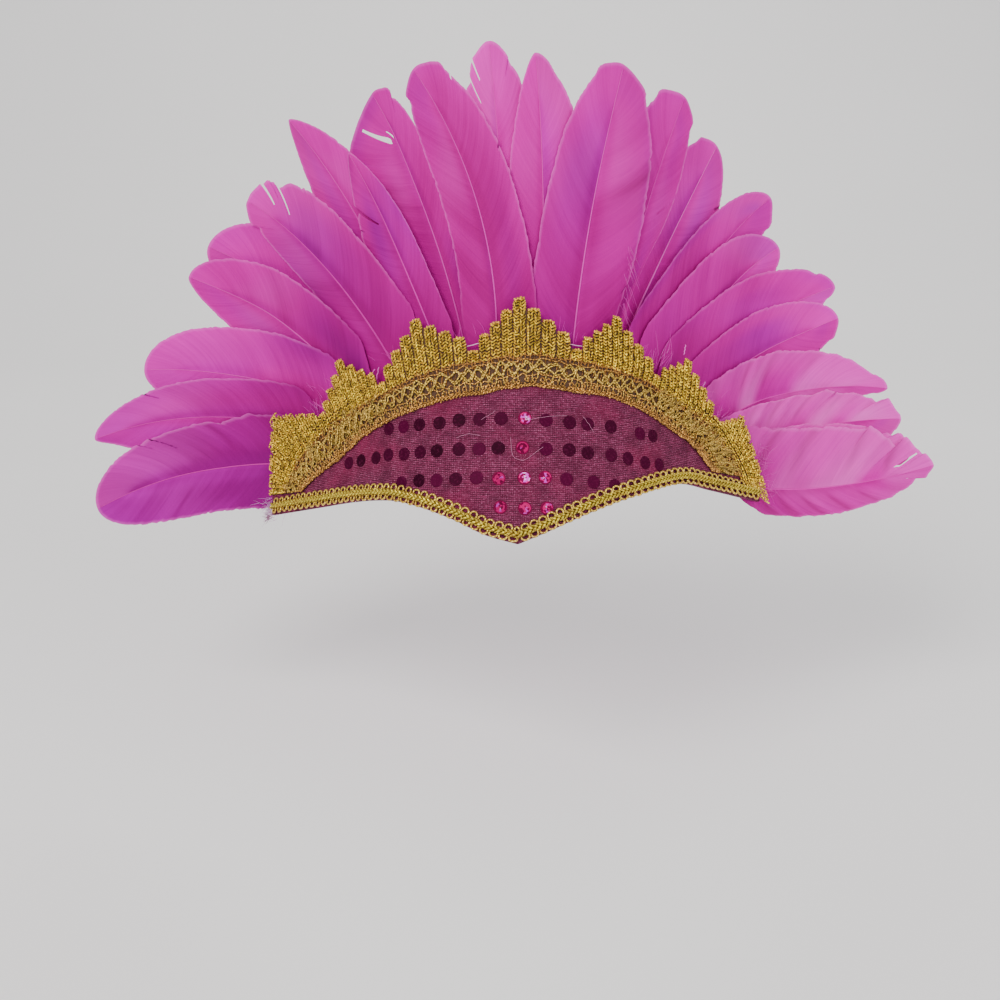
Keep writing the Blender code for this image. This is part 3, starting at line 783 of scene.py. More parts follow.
def weave_material():
    """Plain-woven purple cloth with pink flecks. UV is in millimetres on the cloth."""
    n = Nodes("woven_cloth")
    wobble = n.noise(n.uv((0.12, 0.12, 1)))
    slubs = n.noise(n.uv((0.22, 1.5, 1)), roughness=0.6)
    across = n.wave(n.uv((1.0, 1.0, 1)), scale=0.30, distortion=0.8)
    along = n.wave(n.uv((1.0, 1.0, 1)), scale=0.34, distortion=0.5, direction="Y")
    threads = n.math("MULTIPLY", n.remap(along, 0.0, 1.0, 0.15, 1.0), n.remap(across, 0.0, 1.0, 0.45, 1.0))
    flecks = n.noise(n.uv((0.55, 1.3, 1)), scale=1.6, detail=3.0, roughness=0.8)
    ground = n.mix(threads, (0.022, 0.001, 0.008), (0.215, 0.016, 0.068))
    slubbed = n.mix(n.remap(slubs, 0.45, 0.70, 0.0, 0.50), ground, (0.330, 0.045, 0.135))
    bright = n.math("MULTIPLY", n.remap(flecks, 0.50, 0.62), n.remap(threads, 0.2, 0.8))
    fleck = n.mix(n.math("MULTIPLY", bright, 0.9), slubbed, (0.62, 0.19, 0.36))
    stain = n.noise(n.uv((0.030, 0.035, 1)), detail=1.0)
    warm = n.mix(n.remap(stain, 0.50, 0.70, 0.0, 0.30), fleck, (0.28, 0.004, 0.060))
    shade = n.mix(n.remap(wobble, 0.40, 0.7, 0.0, 0.55), warm, (0.055, 0.003, 0.020))
    n.feed("Base Color", shade)
    n.set("Roughness", 0.75)
    n.set("Specular IOR Level", 0.15)
    n.feed("Normal", n.bump(n.math("ADD", threads, flecks), 0.9, 0.0004))
    return n.material


def backing_material():
    n = Nodes("panel_backing")
    fibres = n.noise(n.uv((1.0, 1.0, 1)), scale=1.6, detail=4.0, roughness=0.7)
    colour = n.mix(n.remap(fibres, 0.35, 0.65), tuple(srgb("3A1030")), tuple(srgb("5A2650")))
    n.feed("Base Color", colour)
    n.set("Roughness", 0.9)
    n.feed("Normal", n.bump(fibres, 0.6, 0.0003))
    return n.material


def sequin_material():
    n = Nodes("sequin")
    dust = n.noise(n.place((1, 1, 1)), scale=900.0)
    n.feed("Base Color", n.mix(n.remap(dust, 0.5, 0.75, 0.0, 0.18), n.tone(), (0.22, 0.02, 0.09)))
    n.set("Metallic", 0.0)
    n.feed("Roughness", n.remap(dust, 0.3, 0.7, 0.45, 0.65))
    n.set("Specular IOR Level", 0.03)
    n.feed("Normal", n.bump(dust, 0.2, 0.0002))
    return n.material


def elastic_material():
    n = Nodes("knitted_elastic")
    ribs = n.wave(n.uv((1.0, 1.0, 1)), scale=0.30, direction="Y")
    knit = n.wave(n.uv((1.0, 1.0, 1)), scale=0.45, distortion=0.4)
    both = n.math("MULTIPLY", ribs, n.remap(knit, 0.0, 1.0, 0.6, 1.0))
    n.feed("Base Color", n.mix(both, tuple(srgb("0E0C0E")), tuple(srgb("2C282C"))))
    n.set("Roughness", 0.75)
    n.set("Sheen Weight", 0.2)
    n.feed("Normal", n.bump(both, 0.8, 0.0003))
    return n.material


def floor_material():
    n = Nodes("studio_floor")
    mottle = n.noise(n.place((1, 1, 1)), scale=3.0, detail=3.0)
    n.feed("Base Color", n.mix(mottle, (0.84, 0.83, 0.82), (0.88, 0.87, 0.86)))
    n.set("Roughness", 0.9)
    return n.material


DEEP = np.array((0.36, 0.0001, 0.18))
PALE = np.array((0.75, 0.0015, 0.46))
VIOLET_DEEP = np.array((0.20, 0.0002, 0.16))
VIOLET_PALE = np.array((0.50, 0.005, 0.47))
WHITISH = np.array((0.90, 0.150, 0.66))

VANE = feather_material()
QUILL = quill_material()
FIBRE = fibre_material()
CLOTH = weave_material()
BACKING = backing_material()
SEQUIN = sequin_material()
LACE_YARN = yarn_material("gold_lace_yarn", (0.25, 0.110, 0.003), (1.0, 0.80, 0.075), 0.45, 0.40)
BRAID_YARN = yarn_material("gold_braid_yarn", (0.28, 0.135, 0.010), (1.0, 0.79, 0.145), 0.55, 0.40)
OPENWORK_YARN = yarn_material("openwork_yarn", (0.10, 0.042, 0.004), (0.92, 0.60, 0.13), 0.50, 0.40)
NET_AND_SHADOW = net_and_shadow_material()
ELASTIC = elastic_material()


# Feathers


def smooth_noise(seed, count):
    """A smooth random curve of the positions 0 to 1, between -1 and 1."""
    values = np.random.RandomState(seed).uniform(-1, 1, count + 3)

    def read(x):
        x = np.clip(np.asarray(x, float), 0, 1) * count
        low = np.floor(x).astype(int)
        t = smoothstep(x - low)
        return values[low] * (1 - t) + values[low + 1] * t

    return read


class Feather:
    """One feather on the chart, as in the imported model. Stations s run from 0 at the foot to 1 at the tip."""

    def __init__(self, row, seed):
        self.name, foot, height, heading, bow, length, left, right, left_tip, right_tip, tilt = row[:11]
        self.shade, self.violet, self.ripple = row[11:]
        along = foot * BOARD_REACH
        low = lower_edge(along)
        self.foot = np.array([along, low + height * (upper_edge(along) - low)])
        self.start = math.radians(heading - bow / 2)
        self.turn = math.radians(bow)
        self.length = length * FEATHER_LENGTH
        self.vanes = {1: left * VANE_WIDTH, -1: right * VANE_WIDTH}
        self.tips = {1: left_tip, -1: right_tip}
        self.tilt = tilt * SHINGLE
        self.seed = seed
        self.depth = self.packed_depth()

    def noise(self, offset, count):
        return smooth_noise(self.seed + offset, count)

    def quill(self, s):
        angle = self.start + self.turn * s
        along = (math.cos(self.start) - np.cos(angle)) / self.turn
        up = (np.sin(angle) - math.sin(self.start)) / self.turn
        places = self.foot + self.length * np.stack([along, up], axis=-1)
        left = np.stack([-np.cos(angle), np.sin(angle)], axis=-1)
        return places, left

    def packed_depth(self):
        """How far behind the board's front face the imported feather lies."""
        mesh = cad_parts[self.name].data
        points = np.zeros(len(mesh.vertices) * 3)
        mesh.vertices.foreach_get("co", points)
        along, up, out = chart_of(points.reshape(-1, 3))
        s = np.linspace(0, 1, 201)
        places, left = self.quill(s)
        spots = np.stack([along, up], axis=-1)
        near = ((spots[:, None] - places) ** 2).sum(axis=-1).argmin(axis=1)
        across = ((spots - places[near]) * left[near]).sum(axis=-1)
        return -np.median(out - self.tilt * across)

    def width(self, s, side):
        roundness = self.tips[side]
        ended = np.clip((s - 0.55) / 0.45, 0, 1)
        end = roundness * np.sqrt(np.maximum(0, 1 - ended**3)) + (1 - roundness) * (1 - ended**1.7)
        return self.vanes[side] * smoothstep((s + 0.10) / 0.34) * end

    def surface(self, s, v, root=None, w=None):
        """World points at station s and distance v to the left of the quill."""
        places, left = self.quill(s)
        spots = places + left * v[..., None]
        share = np.abs(v) / VANE_WIDTH
        camber = -0.0008 * share**2
        roll = self.noise(50, 5)(s) * 0.00025
        wave = self.noise(70, 22)(s) * self.ripple * 0.001 * np.clip(share, 0, 1) ** 1.5
        out = -self.depth + self.tilt * v + camber + roll + wave
        if root is not None:
            for side, middle, wide, height in FOLDS.get(self.name, ()):
                crease = np.exp(-(((root + 0.05 * w - middle) / wide) ** 2)) * height * 0.001
                out = out + np.where(side * v > 0, crease * np.clip((w - 0.10) / 0.5, 0, 1), 0)
        return place(spots[..., 0], spots[..., 1], out)


def vane(feather, side):
    """Points, faces, uv and tone of one vane, laid out barb by barb."""
    rows, columns = 150, 15
    t = np.linspace(0, 1, rows)
    end = 0.06 + 0.94 * (1 - (1 - t) ** 1.5)
    lean = 0.17 * smoothstep(end / 0.40) * (1 - 0.2 * smoothstep((end - 0.7) / 0.3))
    lean = lean * (0.6 + 0.4 * feather.vanes[side] / VANE_WIDTH)
    ragged = feather.noise(side, 60)(t) * 0.012 + feather.noise(9 + side, 220)(t) * 0.008
    nibble = np.maximum(0, feather.noise(13 + side, 90)(t) - 0.72) * 0.16
    if feather.ripple > 0.5:
        ragged = ragged + 0.035 * np.abs(feather.noise(17 + side, 14)(t)) * smoothstep((end - 0.3) / 0.3)
        bitten = 0.10 * np.maximum(0, feather.noise(19 + side, 18)(t))
        ragged = ragged - bitten * smoothstep((end - 0.7) / 0.2)
    nibble = nibble * smoothstep((end - 0.35) / 0.3)
    reach = feather.width(end, side) * (1 + ragged * (1 + feather.ripple) - nibble)
    for lobe_side, where, wide, swell in LOBES.get(feather.name, ()):
        if lobe_side == side:
            reach = reach * (1 + swell * np.exp(-(((end - where) / wide) ** 2)))
    w = np.linspace(0, 1, columns) ** 0.9
    root = (end - lean)[:, None]
    station = root + lean[:, None] * (0.55 * w + 0.45 * w**2)
    across = reach[:, None] * w
    open_rows = {}
    for split_side, where, hold, rim, gap in SPLITS.get(feather.name, ()):
        if split_side != side:
            continue
        parted = np.clip((w - hold) / (1 - hold), 0, 1) ** 0.8
        if rim < 1:
            parted = np.clip((w - hold) / 0.08, 0, 1) * np.clip((rim - w) / (rim - hold - 0.06), 0, 1)
        away = end - where
        push = np.sign(away) * np.exp(-np.abs(away) / 0.045) * gap * 0.0005 / feather.length
        station = station + push[:, None] * parted
        open_rows[int(np.searchsorted(end, where)) - 1] = (hold, rim)
    station = np.minimum(station, 1.0)
    points = feather.surface(station, across * side, np.broadcast_to(root, station.shape), w)
    faces = []
    for face in grid_faces(rows, columns):
        row, column = divmod(face[0], columns)
        if row in open_rows and open_rows[row][0] <= w[column] < open_rows[row][1]:
            continue
        faces.append(face if side < 0 else face[::-1])
    barb = root * feather.length * 1000 + feather.seed * 37.0
    uv = np.stack(np.broadcast_arrays(barb, across * 1000), axis=-1)
    return points, faces, uv, vane_tone(feather, side, station, w, root)


def vane_tone(feather, side, station, w, root):
    """Painted colour: deep near the foot, paler towards the tip, with painted light and shade on top: broad lit
    and shaded patches, one vane lit and the other shaded, shade beside the quill, lit and shaded sides of the
    creases, a highlight along the edges and patches of violet and whitish sheen.
    """
    band = feather.noise(20 + side, 11)(root)
    strands = feather.noise(26 + side, 60)(root)
    # sweep: broad patches of painted light and painted shade over the vane
    sweep = feather.noise(40, 4)(station) * feather.noise(43 + side, 2)(w)
    # patch: where painted violet sheen lies on the vane
    patch = feather.noise(60, 3)(station) * feather.noise(63 + side, 2)(w)
    level = feather.shade - 0.40 + 0.46 * smoothstep(station / 0.9)
    level = level + 0.12 * band + 0.24 * sweep + 0.05 * strands
    # painted light on one vane and painted shade on the other, mirrored between left and right feathers
    level = level + 0.16 * side * np.sign(feather.foot[0] + 0.001) * (w - 0.4)
    if feather.ripple > 0.5 and side < 0:
        level = level - 0.32
    # painted shade along the vane beside the quill
    level = level - 0.16 * np.exp(-(((w - 0.10) / 0.10) ** 2))
    # painted light on each crease, strongest on its side towards the tip, and painted shade just on its side
    # towards the foot
    for crease_side, middle, wide, height in FOLDS.get(feather.name, ()):
        if crease_side == side:
            off = (root + 0.05 * w - middle) / wide
            fade = height * np.clip((w - 0.12) / 0.4, 0, 1)
            level = level + (0.12 + 0.16 * off) * fade * np.exp(-(off**2))
            level = level - 0.26 * fade * np.exp(-(((off + 1.15) / 0.30) ** 2))
    level = np.clip(level, 0, 1)[..., None]
    # the feather's own violet tint, plus patches of painted violet sheen
    violet_dye_and_sheen = np.clip(feather.violet + 0.9 * patch - 0.05, 0, 1)[..., None]
    pink = DEEP + (PALE - DEEP) * level
    violet = VIOLET_DEEP + (VIOLET_PALE - VIOLET_DEEP) * level
    colour = pink + (violet - pink) * violet_dye_and_sheen
    # painted highlight along the outer edge of the vane
    white = 0.40 * smoothstep((w - 0.94) / 0.04) * smoothstep((station - 0.15) / 0.3)
    # patches of painted sheen towards the tip, away from the quill
    sheen = np.clip(feather.noise(80 + side, 3)(station + 0.15 * w) + 0.2, 0, 1)
    white = white + 0.10 * sheen * smoothstep((station - 0.45) / 0.3) * smoothstep(w / 0.4)
    pale = max(0.0, feather.shade - 0.62) / 0.23
    white = white + 0.62 * pale * np.clip(0.40 + 0.9 * band * (1 - w), 0, 1) * (0.35 if side < 0 else 1.0)
    return colour + (WHITISH - colour) * np.clip(white, 0, 1)[..., None]


def make_feather(feather):
    pile = Pile()
    for side in (1, -1):
        points, faces, uv, tone = vane(feather, side)
        pile.add(points, faces, tone.reshape(-1, 3), uv)
    vane_faces = len(pile.faces)
    s = np.linspace(0, 0.985, 70)
    places, _ = feather.quill(s)
    path = feather.surface(s, np.zeros_like(s))
    _, (_, _, out) = axes_at(places[:, 0], places[:, 1], -feather.depth)
    bright = BRIGHT_QUILLS.get(feather.name, 0.05)
    radius = (0.00040 + 0.00024 * bright) * (1 - s) ** 1.2 + 0.00014
    level = feather.shade * smoothstep(s * 2)
    base = DEEP + (PALE - DEEP) * (0.15 + 0.75 * level)[:, None]
    base = base + (WHITISH - base) * (0.04 + 0.50 * bright) * smoothstep(s * 5 - 0.6)[:, None]
    pile.tube(path + out * (radius * 0.35)[:, None], radius, sides=7, tone=base, normal=out)
    slots = [0] * vane_faces + [1] * (len(pile.faces) - vane_faces)
    return pile.make(feather.name + "_plume", (VANE, QUILL), "dyed_feather", (feather.name,), slots)


# Panel and sequins


def panel_grid(columns, rows, inset):
    """Chart places all over the panel, in from its outline by an inset."""
    along = np.linspace(-BOARD_REACH + inset, BOARD_REACH - inset, columns)
    low, high = lower_edge(along) + inset, upper_edge(along) - inset
    up = low + (high - low) * np.linspace(0, 1, rows)[:, None]
    return np.broadcast_to(along, up.shape), up


def make_board():
    """The stiff board, which shows at the back."""
    columns, rows = 200, 20
    across, up = panel_grid(columns, rows, 0.0003)
    front = place(across, up, -0.0004)
    back = place(across, up, -BOARD_THICKNESS)
    faces = slab_faces(rows, columns)
    uv = np.stack([across, up], axis=-1).reshape(-1, 2) * 1000
    points = np.concatenate([front.reshape(-1, 3), back.reshape(-1, 3)])
    uv = np.concatenate([uv, uv])
    add_mesh("panel_board", points, faces, (BACKING,), ("front_panel",), uv)


def make_fabric():
    """The cloth stretched over the board's front and round its edges."""
    columns, rows, turned = 300, 60, 3
    across, up = panel_grid(columns, rows, 0.0)
    across = np.pad(across, turned, mode="edge")
    up = np.pad(up, turned, mode="edge")
    over = np.zeros_like(up)
    depth = np.linspace(0, BOARD_THICKNESS, turned + 1)[1:]
    for k in range(turned):
        ring = turned - 1 - k
        for edge in (np.s_[ring, :], np.s_[-1 - ring, :], np.s_[:, ring], np.s_[:, -1 - ring]):
            over[edge] = np.maximum(over[edge], depth[k])
    bumps = smooth_noise(5, 60)((across / BOARD_REACH + 1) / 2) * smooth_noise(6, 24)(up / CROWN_HEIGHT)
    bumps = bumps + 0.6 * smooth_noise(7, 9)((across / BOARD_REACH + 1) / 2 + up * 2)
    points = place(across, up, np.where(over > 0, -over, 0.00010 * bumps))
    uv = np.stack([across, up + over], axis=-1) * 1000
    cloth = add_mesh("panel_fabric", points, grid_faces(*up.shape), (CLOTH,), uv=uv)
    along = np.linspace(-BOARD_REACH, BOARD_REACH, 801)
    heights = upper_edge(along) - lower_edge(along)
    area = float(((heights[1:] + heights[:-1]) / 2 * np.diff(along)).sum())
    rim = 2 * (2 * BOARD_REACH + heights[0] + heights[-1]) * BOARD_THICKNESS
    area = area + float(rim) * 0.5


def sequin_disc(pile, along, up, radius, colour, tilt, lift, sectors=28):
    rings = ((0.0, 0.05), (0.30, 0.05), (0.62, 0.10), (0.90, 0.16), (1.0, 0.10), (1.02, -0.05))
    turns = np.linspace(0, 2 * math.pi, sectors, endpoint=False)
    points = []
    for share, height in rings:
        da = radius * share * np.cos(turns)
        du = radius * share * np.sin(turns)
        points.append(place(along + da, up + du, lift + height * 0.001 + tilt[0] * da + tilt[1] * du))
    pile.add(np.concatenate(points), grid_faces(len(points), sectors, closed=True), colour)


def glitter_sequin(pile, along, up, radius, glint_strength, rand):
    """A sequin that catches the light, all painted: facets of hot pink, violet and white for its glints and
    reflections, and deep ones where it catches none.
    """
    hot, deep = np.array((0.75, 0.006, 0.19)), np.array((0.20, 0.001, 0.05))
    violet, white = np.array((0.78, 0.06, 0.62)), np.array((1.0, 0.42, 0.88))
    sectors = 10
    turns = np.linspace(0, 2 * math.pi, sectors + 1)
    shares = (0.0, 0.45, 0.80, 1.0)
    for i in range(sectors):
        for j in range(3):
            pick = rand.uniform()
            colour = hot
            if pick < 0.16 * glint_strength**2:
                colour = white
            elif pick < 0.50 * glint_strength:
                colour = violet
            elif pick > 0.64:
                colour = deep
            colour = colour * (0.35 + 0.65 * glint_strength)
            corners = []
            for share, turn in ((j, i), (j, i + 1), (j + 1, i + 1), (j + 1, i)):
                reach = radius * shares[share]
                lift = 0.00035 + 0.00030 * rand.uniform()
                angle = turns[turn]
                corners.append(place(along + reach * math.cos(angle), up + reach * math.sin(angle), lift))
            pile.add(corners, [(0, 1, 2, 3)] if j else [(1, 2, 3)], colour)


def make_sequins():
    plain, shiny = Pile(), Pile()
    rand = np.random.RandomState(11)
    for row, places in SEQUIN_ROWS:
        for along in places:
            centre_along = (along + rand.uniform(-0.5, 0.5)) / 1000
            centre_up = (row - 0.055 * max(0, along - 10) + rand.uniform(-0.5, 0.5)) / 1000
            tilt = rand.uniform(-0.03, 0.03, 2)
            colour = np.array((0.040, 0.0004, 0.014)) * rand.uniform(0.5, 1.6)
            # under a glinting sequin the disc is painted lighter, as painted glint
            if BRIGHT_SEQUINS.get((along, row), 0) > 0:
                colour = np.array((0.16, 0.001, 0.04))
            sequin_disc(plain, centre_along, centre_up, 0.0032, colour, tilt, 0.0002)
            if (along, row) in BRIGHT_SEQUINS:
                glitter_sequin(shiny, centre_along, centre_up, 0.0028, BRIGHT_SEQUINS[along, row], rand)
    plain.make("sequins", (SEQUIN,), "woven_fabric")
    piece = shiny.make("bright_sequins", (SEQUIN,), "woven_fabric")
    piece.data.polygons.foreach_set("use_smooth", np.zeros(len(piece.data.polygons), dtype=bool))


# Hem braid


def braid_way():
    """Chart places along the middle of the braid, evenly spaced by real length, with its direction."""
    ends = BOARD_REACH - BRAID_END_GAP
    along = np.linspace(-ends, ends, 3001)
    up = lower_edge(along) + BRAID_INSET + braid_width_up(along) / 2
    length = running_sum(np.hypot(np.diff(along), np.diff(up)))
    return along, up, length


def braid_points(way, across, out):
    """World points at a length along the braid, a distance up across it and a height off the board.

    In the middle it covers the panel's lower edge, towards its ends it uncovers it."""
    along, up, length = braid_way()
    a = np.interp(way, length, along)
    u = np.interp(way, length, up)
    da = np.interp(way + 0.001, length, along) - np.interp(way - 0.001, length, along)
    du = np.interp(way + 0.001, length, up) - np.interp(way - 0.001, length, up)
    size = np.hypot(da, du)
    across = across - 0.0010 + 0.0005 * smoothstep((np.abs(a) - 0.085) / 0.06)
    return place(a - du / size * across, u + da / size * across, out)


def make_braid():
    pile = Pile()
    rand = np.random.RandomState(21)
    total = braid_way()[2][-1]
    base = np.linspace(0.0004, total - 0.0004, 420)
    core = np.array((0.30, 0.24, 0.16))
    for offset in (-0.0011, 0.0, 0.0011):
        pile.tube(braid_points(base, np.full_like(base, offset), 0.0009), 0.0007, sides=8, tone=core)
    pitch = 0.00455
    turns = np.linspace(0, 2 * math.pi, 17)
    for side in (-1, 1):
        for k in range(int(total / pitch)):
            middle = (k + 0.5 + 0.35 * (side > 0)) * pitch
            if middle > total - 0.0025:
                continue
            size = 0.00178 * rand.uniform(0.92, 1.08)
            squash = rand.uniform(0.92, 1.08)
            twist = rand.uniform(-0.25, 0.25)
            way = middle + size * squash * np.cos(turns + twist)
            across = side * 0.00210 + size / squash * np.sin(turns + twist)
            lift = 0.0011 + 0.0004 * np.cos(turns + 0.8) + rand.uniform(-0.0001, 0.0002)
            tone = rand.uniform(0.85, 1.15) * np.array((1.0, 0.93, 0.86))
            pile.tube(braid_points(way, across, lift), 0.00050, sides=8, tone=tone)
    step = 0.00240
    for k in range(int(total / step)):
        middle = (k + 0.5) * step
        for side in (-1, 1):
            t = np.linspace(0, 1, 8)
            way = np.clip(middle + 0.0031 * (t - 0.5) + 0.0004 * side, 0.0004, total - 0.0004)
            across = side * (0.0016 - 0.0018 * t)
            out = 0.0017 + 0.0007 * np.sin(math.pi * t)
            radius = 0.00060 * np.sqrt(np.clip(np.sin(math.pi * (0.06 + 0.88 * t)), 0.12, 1))
            tone = rand.uniform(0.70, 1.12) * np.array((0.94, 1.0, 0.55))
            pile.tube(braid_points(way, across, out), radius, sides=7, tone=tone)
    return pile.make("gimp_braid", (BRAID_YARN,), "gold_braid", ("hem_braid",))


# Crown lace


def lace_frame(repeat):
    """Foot, valley and finger direction of the lace at each repeat."""
    knots = LACE[:, 0]
    columns = [smooth_curve(repeat, knots, LACE[:, i]) for i in range(1, 6)]
    foot_along = columns[0] * BOARD_REACH
    foot_up = braid_top(foot_along) + CLEARANCE + columns[1] * FABRIC_HEIGHT
    lean, peak_lean = np.radians(columns[2]), np.radians(columns[4])
    foot = np.stack([foot_along, foot_up], axis=-1)
    band = (columns[3] * LACE_BAND)[..., None] * np.stack([np.sin(lean), np.cos(lean)], axis=-1)
    finger = np.stack([np.sin(peak_lean), np.cos(peak_lean)], axis=-1)
    return foot, foot + band, finger


def finger_rise(finger):
    """Height of a finger above the valley line."""
    knots, peaks = LACE[:, 0], LACE[:, 6]
    here = min(max(finger / FINGERS_PER_REPEAT, knots[0]), knots[-1])
    peak = math.floor(abs(here) + 0.499) * math.copysign(1, here)
    valley = peak + math.copysign(0.5, here - peak)
    low, high = np.interp(valley, knots, peaks), np.interp(peak, knots, peaks)
    step = np.interp(abs(here - peak) * FINGERS_PER_REPEAT, range(len(FINGER_STEPS)), FINGER_STEPS)
    return PEAK_RISE * (low + (high - low) * step)


def lace_spots(repeat, share):
    """Chart places at a share of the band's height. A share above 1 goes on up the fingers, in bands."""
    repeat = np.asarray(repeat, float)
    inside = np.clip(repeat, LACE[0, 0], LACE[-1, 0])
    past = (repeat - inside)[..., None] * 8
    before = lace_frame(inside - np.sign(repeat) * 0.125)
    pairs = zip(lace_frame(inside), before)
    foot, valley, finger = (now + np.abs(past) * (now - back) for now, back in pairs)
    share = np.asarray(share, float)[..., None]
    within = foot + (valley - foot) * np.minimum(share, 1)
    return within + finger * LACE_BAND * np.maximum(0, share - 1)


def lace_points(repeat, share, out):
    """World points at a share of the band's height."""
    spot = lace_spots(repeat, share)
    return place(spot[..., 0], spot[..., 1], out)


def finger_place(finger, rise, out):
    """World points at a height above the valley line. Fingers count from the middle, whole or not."""
    return lace_points(np.asarray(finger, float) / FINGERS_PER_REPEAT, 1 + np.asarray(rise) / LACE_BAND, out)


# Straight edges in which the fingers end at the two ends of the lace, on the chart in mm
LACE_ENDS = {
    -1: (((-160.9, 20.0), (-160.9, 79.3)), ((-160.9, 79.3), (-117.0, 74.4))),
    1: (((166.9, 35.4), (146.4, 77.2)), ((146.4, 77.2), (124.0, 70.2))),
}


def finger_top(finger):
    """Height of a finger, cut off along the straight edges at the ends of the lace."""
    rise = finger_rise(round(finger))
    if abs(finger) < CUT_FINGERS:
        return rise
    start = lace_spots(finger / FINGERS_PER_REPEAT, 1.0)
    way = lace_frame(np.asarray(finger / FINGERS_PER_REPEAT, float))[2]
    reaches = []
    for low, high in LACE_ENDS[1 if finger > 0 else -1]:
        low, high = np.array(low) / 1000, np.array(high) / 1000
        run = high - low
        turn = way[0] * run[1] - way[1] * run[0]
        if abs(turn) < 1e-9:
            continue
        gap = low - start
        reach = (gap[0] * run[1] - gap[1] * run[0]) / turn
        spot = (gap[0] * way[1] - gap[1] * way[0]) / turn
        if reach > 0 and -0.4 < spot < 1.4:
            reaches.append(reach)
    return float(np.clip(min(reaches, default=rise), 0.0010, 0.034))


def make_lace_ground():
    """The lace's dark ground, net and painted shadow in one sheet, up to just below the tops of the fingers."""
    first, last = FIRST_FINGER, LAST_FINGER
    across = 9
    columns = int(last - first) * across + 1
    finger = np.linspace(first, last, columns)
    shares = np.array((0.03, 0.12, 0.25, 0.40, 0.55, 0.70, 0.85, 1.0))
    whole = np.round(finger)
    rise = np.array([finger_top(f if abs(f) > CUT_FINGERS else k) for f, k in zip(finger, whole)])
    rise = rise - 0.0007 - 0.0012 * np.abs(2 * (finger - whole)) ** 4
    rows = [lace_points(finger / FINGERS_PER_REPEAT, np.full_like(finger, share), 0.0006) for share in shares]
    for step in np.linspace(0, 1, 6)[1:]:
        rows.append(finger_place(finger, np.maximum(0.0002, rise) * step, 0.0006))
    front = np.array(rows)
    down = place(0.0, 0.0, 0.0) - place(0.0, 0.0, 0.0003)
    points = np.concatenate([front.reshape(-1, 3), front.reshape(-1, 3) + down])
    faces = slab_faces(len(rows), columns)
    uv = points[:, [0, 2]] * 1000
    return add_mesh("lace_ground_and_shadow", points, faces, (NET_AND_SHADOW,), ("crown_lace",), uv)


class Beads:
    """Ellipsoids gathered before they are made."""

    def __init__(self):
        self.rows = []

    def add(self, centre, long, wide, tall, tone):
        self.rows.append((centre, long, wide, tall, tone))

    def knot(self, centre, radius, tone):
        self.add(centre, *(np.eye(3) * radius), tone)

    def pour(self, pile, segments, rings):
        pile.beads(*(np.array(column) for column in zip(*self.rows)), segments=segments, rings=rings)


